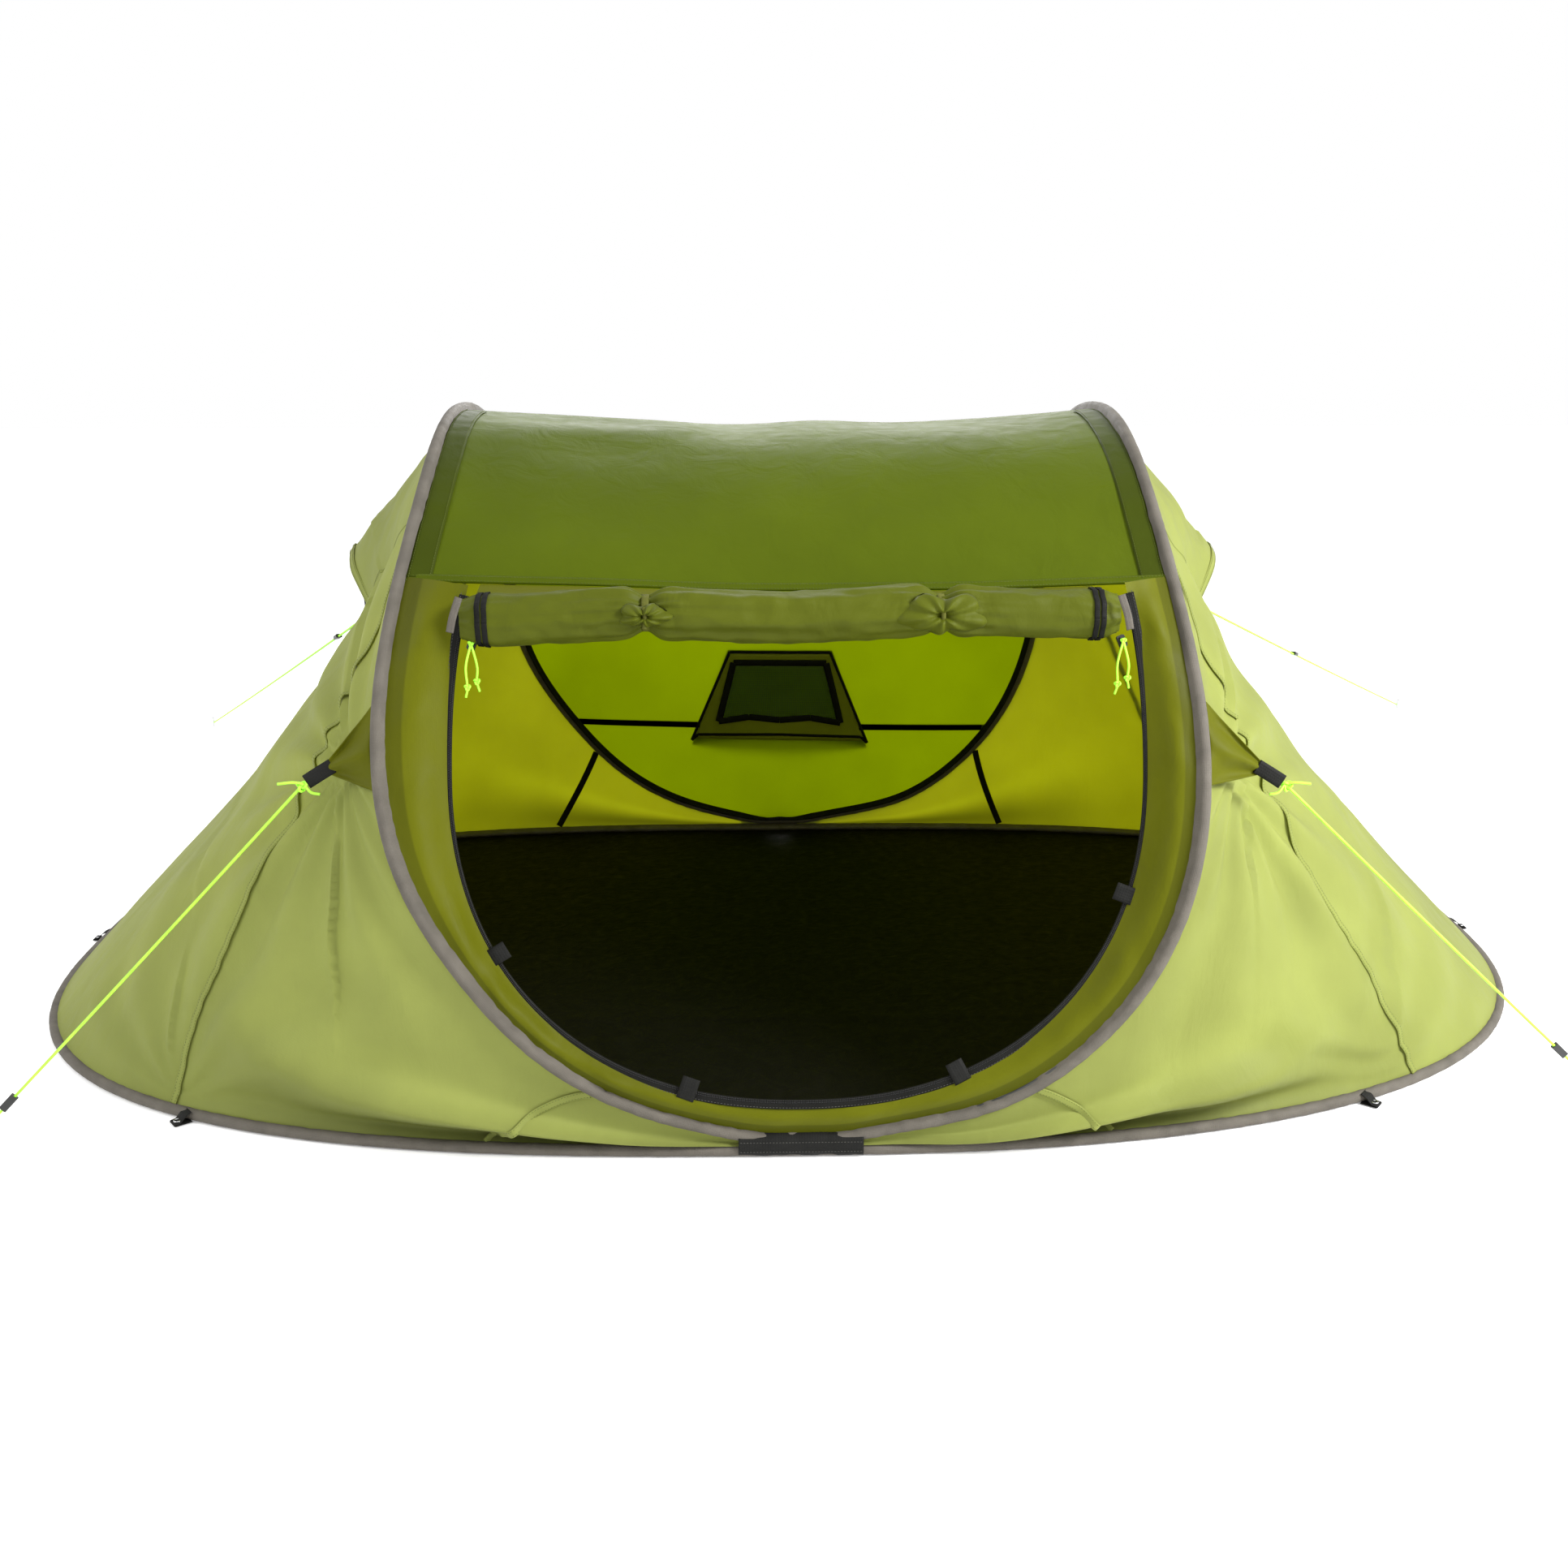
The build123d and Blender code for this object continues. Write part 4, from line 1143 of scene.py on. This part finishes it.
def loop_points(centre, radius_a, radius_b, count=60):
    """A closed loop in the YZ plane."""
    a = np.linspace(0, 2 * math.pi, count)
    y, z = centre[1] + radius_a * np.cos(a), centre[2] + radius_b * np.sin(a)
    return np.stack([0 * a + centre[0], y, z], 1)


bunches = [bunch(TIE_X[0], 0.027, 0.4), bunch(TIE_X[1], 0.046, 2.1)]
finish_piece("rolled_door_bunches", bunches, ROLL_CLOTH)
for x, word in zip(TIE_X, ("left", "right")):
    around = loop_points((x, ROLL_Y, ROLL_Z + 0.002), 0.0242, 0.0242)
    strap = ribbon_grid(around, around - np.array([x, ROLL_Y, ROLL_Z + 0.002]), 0.010, 0.0, 4)
    strap_mesh = grid_mesh("tie", strap)
    front = ROLL_Y - ROLL_RADIUS - 0.0045
    bar = [(x, front, ROLL_Z - 0.012), (x + 0.001, front - 0.002, ROLL_Z + 0.002), (x, front, ROLL_Z + 0.016)]
    toggle = closed_tube("toggle", smooth(bar, 20), (0, -1, 0), 0.0028, 12)
    name = f"door_tie_tape_{word}"
    piece = finish_piece(name, [strap_mesh, toggle], OLIVE_TAPE, [f"door_tie_{word}"])
    thicken(piece, 0.0012)

# %% [markdown]
# ## Zip tapes at the roll's ends
# The door's own zip is wound up with it, so a black band shows near each end of the roll, and the
# tape's grey tail stands up beside it.

# %% Roll tapes
TAPE_X = (ROLL_ENDS[0] + 0.030, ROLL_ENDS[1] - 0.030)
bands, tails = [], []
for x, outward in zip(TAPE_X, (-1, 1)):
    for shift in (-0.0045, 0.0045):
        across = x + shift + np.linspace(-0.0035, 0.0035, 4)[:, None]
        bands.append(grid_mesh("band", roll_points(across, np.linspace(0, 2 * math.pi, 90)[None, :], 0.0014)))
    end = ROLL_ENDS[0] if outward < 0 else ROLL_ENDS[1]
    tail = smooth([(end - outward * 0.004, -0.584, 0.746), (end + outward * 0.004, -0.590, 0.722),
                   (end + outward * 0.010, -0.586, 0.700)], 24)
    tails.append(ribbon("tail", tail, (0, -1, 0.1), 0.010, 0, 4))
thicken(finish_piece("rolled_door_bands", bands, BLACK_TAPE, ["rolled_door_zip_tapes"]), 0.0014)
thicken(finish_piece("rolled_door_zip_tails", tails, GREY_BINDING), 0.0014)

# %% [markdown]
# ## Zip pulls
# Two bright strands hang from each slider, and each ends in a knot.  They ride on the slider's own
# swinging body, so they move with the zip.

# %% Zip pulls
PULL_TOP = {side: np.array(frame_joint["pos_m"]) for side in (-1, 1) for frame_joint in frame["joints"]
            if frame_joint["name"] == f"pull_swing_{WORD[side]}"}


def trefoil(centre, size, toward=(0, -1, 0)):
    """A small knot as a closed line."""
    a = np.linspace(0, 2 * math.pi, 61)
    knot = np.stack([np.sin(a) + 2 * np.sin(2 * a), -np.sin(3 * a) * 1.1, np.cos(a) - 2 * np.cos(2 * a)], 1)
    return np.array(centre) + knot * size


def pull(side):
    """Two strands and their knots."""
    top = PULL_TOP[side]
    parts = []
    for k, sway in enumerate((-1, 1)):
        bottom = top + np.array([sway * 0.0065, -0.008, -0.058 + 0.008 * k])
        middle = top + np.array([sway * 0.0075, -0.006, -0.030])
        tail = bottom + np.array([sway * 0.003, 0.001, -0.014])
        strand = smooth([top, middle, bottom, tail], 40)
        parts.append(closed_tube("strand", strand, (0, -1, 0.1), 0.0016, 10))
        parts.append(closed_tube("knot", trefoil(bottom, 0.0013), (0.3, 1, 0.2), 0.0015, 8))
    parts.append(closed_tube("loop", trefoil(top, 0.0011), (0.3, 1, 0.2), 0.0015, 8))
    name = f"zip_pull_strands_{WORD[side]}"
    return finish_piece(name, parts, ROPE, [f"zip_pull_cord_{WORD[side]}"], f"cord_{WORD[side]}")


for side in (-1, 1):
    pull(side)

# %% [markdown]
# ## Vent hoods
# Each side has an awning over a net window.  It is sewn to the wall along its top and sides, and its
# hem stands off on a strut.  It is a grid in the wall's own coordinates, lifted outward more and more
# towards the hem; its edges are turned in and sewn.

# %% Side vent hoods
HOOD_HALF_T = (0.125, 0.046)
HOOD_TOP_V, HOOD_CORNER_V, HOOD_TIP_V = 0.012, 0.290, 0.25
HOOD_TILT = 0.022
HOOD_BULGE = 0.070


def hood_point(side, down, across, lift=0.0):
    """A point of a side vent's hood: down 0 to 1 from the hoop, across -1 to 1 front to rear."""
    half = HOOD_HALF_T[0] + (HOOD_HALF_T[1] - HOOD_HALF_T[0]) * down
    hem = HOOD_TIP_V + (HOOD_CORNER_V - HOOD_TIP_V) * across ** 2 + HOOD_TILT * across
    v = HOOD_TOP_V + (hem - HOOD_TOP_V) * down
    bulge = HOOD_BULGE * down ** 0.9 * (1 - np.abs(across) ** 2.6) - 0.001
    p = side_wall(side, 0.5 + half * across, v)[0] + np.array([side * 0.86, 0, 0.51]) * bulge[..., None]
    waves = 0.0080 * noise3(p * np.array([1, 1.4, 0.7]), 15.0, 61 + side) * np.sin(np.pi * down) ** 0.5
    waves *= 1 - across ** 4
    waves += 0.0022 * noise3(p, 38.0, 63 + side) * (1 - across ** 2)
    return p + np.array([side * 0.86, 0, 0.51]) * (waves + lift)[..., None]


for side in (-1, 1):
    down, across = np.meshgrid(np.linspace(0, 1, 70), np.linspace(-1, 1, 120), indexing="ij")
    outward = (side * 0.86, 0, 0.51)
    hood = grid_mesh("hood", facing(hood_point(side, down, across), outward))
    s = np.linspace(-0.985, 0.985, 120)
    hem_line = hood_point(side, 0 * s + 0.975, s)
    hem = ribbon("hem", hem_line, outward, 0.016, 0.0016, 5)
    name = f"side_vent_hood_cloth_{WORD[side]}"
    stands_for = [f"side_vent_hood_{WORD[side]}"]
    piece = finish_piece(name, [hood, hem], LIGHT_CLOTH, stands_for)
    thicken(piece, 0.0009)
    hood_point(side, down, across)
    edge = [hood_point(side, np.linspace(0.02, 0.99, 90), 0 * s[:90] + k * 0.985, 0.0012) for k in (-1, 1)]
    rows = [offset_line(hem_line, np.broadcast_to(unit(np.array(outward)), hem_line.shape), gap, 0.0028)
            for gap in (-0.005, 0.005)]
    name = f"side_vent_thread_{WORD[side]}"
    bead_row(name, rows + edge, STITCH_PITCH, STITCH, THREAD)

# %% [markdown]
# ## Side nets
# Under each hood a small net window is sewn to the wall, with black tape along its upper and lower
# edge.  The net is a grid in the wall's own coordinates, so it follows every wrinkle.

# %% Side nets
for side in (-1, 1):
    v, s = np.meshgrid(np.linspace(0.10, 0.25, 24), np.linspace(-1, 1, 60), indexing="ij")
    half = 0.07 - 0.03 * (v - 0.10) / 0.15
    grid, _ = side_wall(side, 0.5 + half * s, v, 0.0016)
    mesh = grid_mesh("net", facing(grid, (side, 0, 0.5)))
    rim_s = np.linspace(-1, 1, 60)
    ends = ((0.10, 0.07), (0.25, 0.04))
    rim = [side_wall(side, 0.5 + h * rim_s, 0 * rim_s + place, 0.003) for place, h in ends]
    stands_for = [f"side_vent_mesh_{WORD[side]}"]
    thicken(finish_piece(f"side_vent_net_{WORD[side]}", mesh, NET, stands_for), 0.0006)
    tapes = [ribbon("tape", line, normal, 0.014, 0.0005, 4) for line, normal in rim]
    thicken(finish_piece(f"side_vent_tape_{WORD[side]}", tapes, BLACK_TAPE), 0.0010)

# %% [markdown]
# ## Rear vent
# The rear wall has a small tapered window.  From inside it shows as net in a black taped frame, on a
# wider brown green facing that is painted shade, standing in for the hood's shade seen through the
# wall; outside, a hood stands over it on a short strut.

# %% Rear vent
REAR_TABLE = np.linspace(0.5, 1.0, 800)


def rear_t_at(z):
    """The place along the hoop where the rear wall passes a height."""
    heights = (HOOP[-1](REAR_TABLE)[:, 2] + HOOP[1](REAR_TABLE)[:, 2]) / 2
    return np.interp(-np.asarray(z, float), -heights, REAR_TABLE)


def rear_point(x, z, lift=0.0):
    """A point on the rear wall, with its normal."""
    t = rear_t_at(z)
    left, right = inset(HOOP[-1](t))[..., 0], inset(HOOP[1](t))[..., 0]
    return canopy(t, (x - left) / (right - left), lift)


def tapered(top_z, foot_z, top_half, foot_half, rows, cols):
    """A grid of x and z over a tapered panel."""
    s, u = np.meshgrid(np.linspace(0, 1, rows), np.linspace(-1, 1, cols), indexing="ij")
    return (top_half + (foot_half - top_half) * s) * u, top_z + (foot_z - top_z) * s, s, u


# Painted shade: this brown green facing inside the wall stands in for the hood's shade seen through the
# cloth.
x, z, s, u = tapered(0.418, 0.212, 0.108, 0.186, 30, 50)
shade_facing_grid, _ = rear_point(x, z, -0.0028)
shade_facing_mesh = grid_mesh("facing", facing(shade_facing_grid, (0, -1, 0)))
thicken(finish_piece("rear_vent_painted_shade", shade_facing_mesh, canopy_cloth(
    "rear vent painted shade", (0.28, 0.30, 0.015), (0.40, 0.46, 0.0), 0.30)), 0.0008)
xn, zn, _, _ = tapered(0.392, 0.264, 0.094, 0.127, 24, 40)
net_grid, _ = rear_point(xn, zn, -0.0052)
thicken(finish_piece("rear_vent_net", grid_mesh("net", facing(net_grid, (0, -1, 0))), NET,
                     ["rear_vent_mesh"]), 0.0006)


def flat_tape(corners, width, lift):
    """Black tape laid along straight sides on the inside of the rear wall."""
    strips = []
    for a, b in zip(corners, corners[1:]):
        points = np.linspace(a, b, 40)
        line, normal = rear_point(points[:, 0], points[:, 1], lift)
        strips.append(ribbon("tape", line, -normal, width, 0, 4))
    return strips


# Black tape along the hood's outline: seam tape where the hood is sewn at its top and sides, and painted
# shade along its free hem, standing for the hem's shade seen through the wall.
hood_seam_and_shade_outline = [(-0.106, 0.422), (0.106, 0.422), (0.190, 0.208), (0.176, 0.222), (0.0, 0.226), (-0.176, 0.222),
              (-0.190, 0.208), (-0.106, 0.422)]
window_frame = [(-0.098, 0.398), (0.098, 0.398), (0.131, 0.256), (0.066, 0.268), (0.0, 0.262),
                (-0.066, 0.268), (-0.131, 0.256), (-0.098, 0.398)]
vent_tapes = flat_tape(window_frame, 0.014, -0.0070) + flat_tape(hood_seam_and_shade_outline, 0.006, -0.0045)
thicken(finish_piece("rear_vent_tape", vent_tapes, BLACK_TAPE), 0.0010)
hood_x, hood_z, s, u = tapered(0.425, 0.196, 0.110, 0.190, 40, 60)
rear_hood, _ = rear_point(hood_x, hood_z, 0.0030 + 0.034 * s * (1 - u ** 2))
rear_hood += np.array([0, 1, 0.3]) * (0.0018 * noise3(rear_hood, 26.0, 71))[..., None]
thicken(finish_piece("rear_vent_hood_cloth", grid_mesh("hood", facing(rear_hood, (0, 1, 0.3))), OLIVE_CLOTH,
                     ["rear_vent_hood"]), 0.0009)

# %% [markdown]
# ## Tapes inside the tent
# Black tape covers the seams on the inside: along the rear half of the hoop, level across the rear
# wall on both sides of the vent, and down the two lower seams.

# %% Inside tapes
def inside_hoop_line(side):
    """A line just inside the rear half of the hoop."""
    t = np.linspace(0.53, 1.0, 260)
    hoop = HOOP[side](t)
    focus = np.stack([0 * t, 0 * t + 0.10, 0 * t + 0.42], 1)
    return hoop + unit(focus - hoop) * 0.017, unit(focus - hoop)


inside = []
for side in (-1, 1):
    line, normal = inside_hoop_line(side)
    inside.append(ribbon("tape", line, normal, 0.013, 0.0, 4))
for a, b in ((-0.462, -0.172), (0.172, 0.462)):
    inside += flat_tape([(a, REAR_SEAM_Z), (b, REAR_SEAM_Z)], 0.013, -0.0035)
for side in (-1, 1):
    v = np.linspace(0.02, 0.98, 60)
    top_t = find_t(HOOP[side], 2, 0.195, 0.5, 1.0)
    foot_t = find_t(lambda t: ring(side, t), 0, side * 0.490, 0.5, 1.0)
    line, normal = side_wall(side, top_t + (foot_t - top_t) * v, v, -0.003)
    inside.append(ribbon("tape", line, -normal, 0.013, 0.0, 4))
thicken(finish_piece("inside_seam_tape", inside, BLACK_TAPE, ["rear_seam_tape"]), 0.0010)

# %% [markdown]
# ## Guy corners
# A gusset of doubled cloth takes each front guy line's pull.  It is drawn from the hoop to a point,
# where a black webbing tab joins it to the line's knot.

# %% Gussets, tabs and knots
for side in (-1, 1):
    word = WORD[side]
    knot = np.array(ROPE_ROUTES[f"front_{word}"][0])
    tip = knot + np.array([-side * 0.034, 0.002, 0.022])
    t_pair = [find_t(HOOP[side], 2, z, 0.0, 0.5) for z in (0.498, 0.604)]
    edge = HOOP[side](np.linspace(*t_pair, 30)) + np.array([side * 0.008, 0.004, 0])
    s = np.linspace(0, 1, 30)[:, None, None]
    point = tip + np.array([0, 0, 1.0]) * np.linspace(-0.009, 0.009, 30)[:, None]
    grid = edge[None] + (point - edge)[None] * s
    fold = np.linspace(-1, 1, 30)[None, :]
    wave = 0.007 * np.cos(fold * 4.5) * np.sin(np.pi * s[..., 0]) ** 0.7 + 0.002 * noise3(grid, 45.0, 81)
    grid = grid + np.array([0, -1.0, 0.2]) * wave[..., None]
    mesh = grid_mesh("gusset", facing(grid, (0, -1, 0)))
    name = f"guy_gusset_cloth_{word}"
    thicken(finish_piece(name, mesh, BAND_CLOTH, [f"guy_gusset_{word}"]), 0.0012)
    fold_back = tip + np.array([-side * 0.006, -0.001, 0.003])
    half_way = (tip + knot) / 2 + np.array([0, -0.002, 0])
    run = smooth([fold_back, half_way, knot + (tip - knot) * 0.12], 24)
    tab = ribbon("tab", run, (0, -1, 0.1), 0.020, 0.0, 5, 0.0006)
    thicken(finish_piece(f"guy_webbing_{word}", tab, BLACK_WEBBING, [f"guy_tab_{word}"]), 0.0026)
    pull_way = unit(np.array(ROPE_ROUTES[f"front_{word}"][2]) - knot)
    bends = [[(0.014, -0.004, 0.003), (0.034, -0.004, 0.001)],
             [(-0.010, -0.006, -0.010), (-0.022, -0.006, -0.013)]]
    tails = [smooth([knot] + [knot + np.array([side * x, y, z]) for x, y, z in bend], 20) for bend in bends]
    parts = [closed_tube("knot", trefoil(knot + pull_way * 0.004, 0.0024), (0.3, 1, 0.2), 0.0019, 8)]
    parts += [closed_tube("tail", line, (0, -1, 0.3), 0.0018, 8) for line in tails]
    finish_piece(f"guy_knot_{word}", parts, ROPE)

# %% [markdown]
# ## Loops, tabs and patches
# Short pieces of black webbing finish the edges: six folded peg loops with eyelets outside the ring,
# four tabs on the door's edge, and a patch over each place where the hoop stands on the ring.

# %% Peg loops
LOOP_REACH = 0.020
LOOP_PLACES = {"front": (233.0, 307.0), "side": (180.0, 0.0), "rear": (127.0, 53.0)}


def ring_spot(degrees):
    """A point of the ring at an angle, and the way out from there."""
    c, s = math.cos(math.radians(degrees)), math.sin(math.radians(degrees))
    side, end = (1 if c >= 0 else -1), (1 if s >= 0 else -1)
    power = 2 / RING_SQUARENESS[side, end]
    depth = RING_HALF_WIDTH - end * RING_WIDEST_Y
    x, y = side * RING_HALF_LENGTH * abs(c) ** power, RING_WIDEST_Y + end * depth * abs(s) ** power
    p = np.array([x, y, 0])
    return p, unit(p - np.array([0, RING_WIDEST_Y, 0]))


for where, pair in LOOP_PLACES.items():
    parts, eyelets = [], []
    for degrees in pair:
        spot, out = ring_spot(degrees)
        reach = [(0.004, 0.016), (0.012, 0.012), (0.020, 0.0045), (0.0275, 0.0032), (0.0285, 0.0022),
                 (0.0275, 0.0012), (0.012, 0.0010), (0.004, 0.0010)]
        line = smooth([spot + out * a + np.array([0, 0, b]) for a, b in reach], 50)
        normal = np.cross(np.gradient(line, axis=0), np.cross([0, 0, 1.0], out))
        parts.append(grid_mesh("loop", ribbon_grid(line, -normal, 0.020, 0, 4)))
        a = np.linspace(0, 2 * math.pi, 33)
        centre = spot + out * 0.0215 + np.array([0, 0, 0.0050])
        beside = np.cross([0, 0, 1.0], out)
        circle = centre + 0.0046 * (np.cos(a)[:, None] * out + np.sin(a)[:, None] * beside)
        eyelets.append(closed_tube("eyelet", circle, (0, 0, 1), 0.0011, 8))
    stands_for = [f"peg_loops_{where}"]
    piece = finish_piece(f"peg_loop_webbing_{where}", parts, BLACK_WEBBING, stands_for)
    thicken(piece, 0.0009)
    finish_piece(f"peg_loop_eyelets_{where}", eyelets, STEEL)

# %% [markdown]
# ## Tabs on the door's edge, and patches at the feet
# Four folded tabs of webbing sit astride the door's edge, where an open door is hooked up.  Where the
# hoop stands on the ring, a plain black patch is sewn over both sleeves.

# %% Door tabs and patches
TAB_ANGLES = [math.radians(a) for a in (211.0, 250.4, 297.5, 338.9)]
tabs = []
for angle in TAB_ANGLES:
    reach = np.linspace(-0.016, 0.014, 16)
    line = np.array([door_edge(np.array([angle]), grow=g)[0] for g in reach])
    arch = 0.0042 * np.cos(np.linspace(-1.2, 1.2, 16))
    tabs.append(ribbon("tab", line + DOOR_OUT * arch[:, None], DOOR_OUT, 0.024, 0, 5))
thicken(finish_piece("door_edge_webbing", tabs, BLACK_WEBBING, ["door_edge_tabs"]), 0.0022)

patches, patch_rows = [], []
for end in (-1, 1):
    x = np.linspace(-0.085, 0.085, 60)
    rise = [(0.7060, 0.0340), (0.7180, 0.0335), (0.7262, 0.0270), (0.7266, 0.0180), (0.7262, 0.0080),
            (0.7215, 0.0020)]
    section = smooth([(0, end * y, z) for y, z in rise], 24)
    grid = section[None] + np.array([1.0, 0, 0]) * x[:, None, None]
    grid[..., 2] += 0.0006 * noise3(grid, 90.0, 91)
    patches.append(grid_mesh("patch", facing(grid, (0, end, 0.4))))
    patch_rows.append(np.stack([x * 0.96, 0 * x + end * 0.7276, 0 * x + 0.024], 1))
    patch_rows.append(np.stack([x * 0.96, 0 * x + end * 0.7276, 0 * x + 0.010], 1))
thicken(finish_piece("foot_patch_webbing", patches, BLACK_WEBBING, ["foot_patches"]), 0.0012)
bead_row("foot_patch_thread", patch_rows, STITCH_PITCH, STITCH, GREY_THREAD)

# %% [markdown]
# ## Frame pieces that stay
# Rods, ferrules, struts, sliders, runners and pegs are hard pieces with their true shape already, so
# they only get a finish.

# %% Finishes for the frame's own pieces
KEPT = {"hoop_rod": ROD, "ring_rod": ROD, "rod_ferrules": STEEL, "side_vent_strut": BLACK_PLASTIC,
        "rear_vent_strut": BLACK_PLASTIC, "zip_slider": ZIP_METAL, "guy_runner": BLACK_PLASTIC, "peg_": STEEL}
for name, node in frame["nodes"].items():
    for start, material in KEPT.items():
        if name.startswith(start) and not node.hide_render:
            node.data.materials.clear()
            node.data.materials.append(material)
print("kept", sorted(n for n, o in frame["nodes"].items() if not o.hide_render))

# %% [markdown]
# ## Floor and light
# A pale floor and a bright, even studio.  One large lamp above the front gives the soft shine, and one
# behind the tent sends light through the rear wall, as a bright background does.

# %% Floor and lamps
def lamp(name, place, target, size, power, glare=1.0):
    """A large soft lamp that looks at a point."""
    data = bpy.data.lights.new(name, "AREA")
    data.shape = "DISK"
    data.size = size
    data.energy = power
    data.specular_factor = glare
    holder = bpy.data.objects.new(name, data)
    holder.location = place
    holder.rotation_euler = look_at(place, target)
    bpy.context.scene.collection.objects.link(holder)


def look_at(place, target):
    """The turn that points a lamp from one place to another."""
    return (Vector(target) - Vector(place)).to_track_quat("-Z", "Y").to_euler()


floor_plane = bpy.data.meshes.new("studio_floor")
reach = 14.0
corners = [(-reach, -reach, 0), (reach, -reach, 0), (reach, reach, 0), (-reach, reach, 0)]
floor_plane.from_pydata(corners, [], [(0, 1, 2, 3)])
floor_object = bpy.data.objects.new("studio_floor", floor_plane)
floor_object.location = (0, 0, -0.001)
bpy.context.scene.collection.objects.link(floor_object)
floor_finish = Finish("pale floor")
floor_cloud = floor_finish.span(floor_finish.noise(3.0), 0.99, 1.01)
floor_skin = floor_finish.add("ShaderNodeBsdfPrincipled", {
    "Base Color": floor_finish.tint(rgb(0.93, 0.93, 0.93), floor_cloud),
    "Roughness": 0.7, "Specular IOR Level": 0.1, "Emission Color": rgb(1, 1, 1), "Emission Strength": 0.18})
floor_plane.materials.append(floor_finish.show(floor_skin.outputs[0]))

world = bpy.data.worlds.new("studio")
world.use_nodes = True
world.node_tree.nodes["Background"].inputs["Color"].default_value = rgb(1.0, 1.0, 1.0)
world.node_tree.nodes["Background"].inputs["Strength"].default_value = 1.0
bpy.context.scene.world = world
bpy.context.scene.view_settings.view_transform = "Standard"
lamp("key_softbox", (2.7, -1.9, 2.3), (0, 0, 0.3), 1.2, 190)
lamp("fill_softbox", (-2.8, -1.4, 2.2), (0, 0, 0.3), 1.4, 36)
lamp("rear_softbox", (0.0, 3.2, 1.8), (0, 0.2, 0.4), 2.4, 105, 0.1)
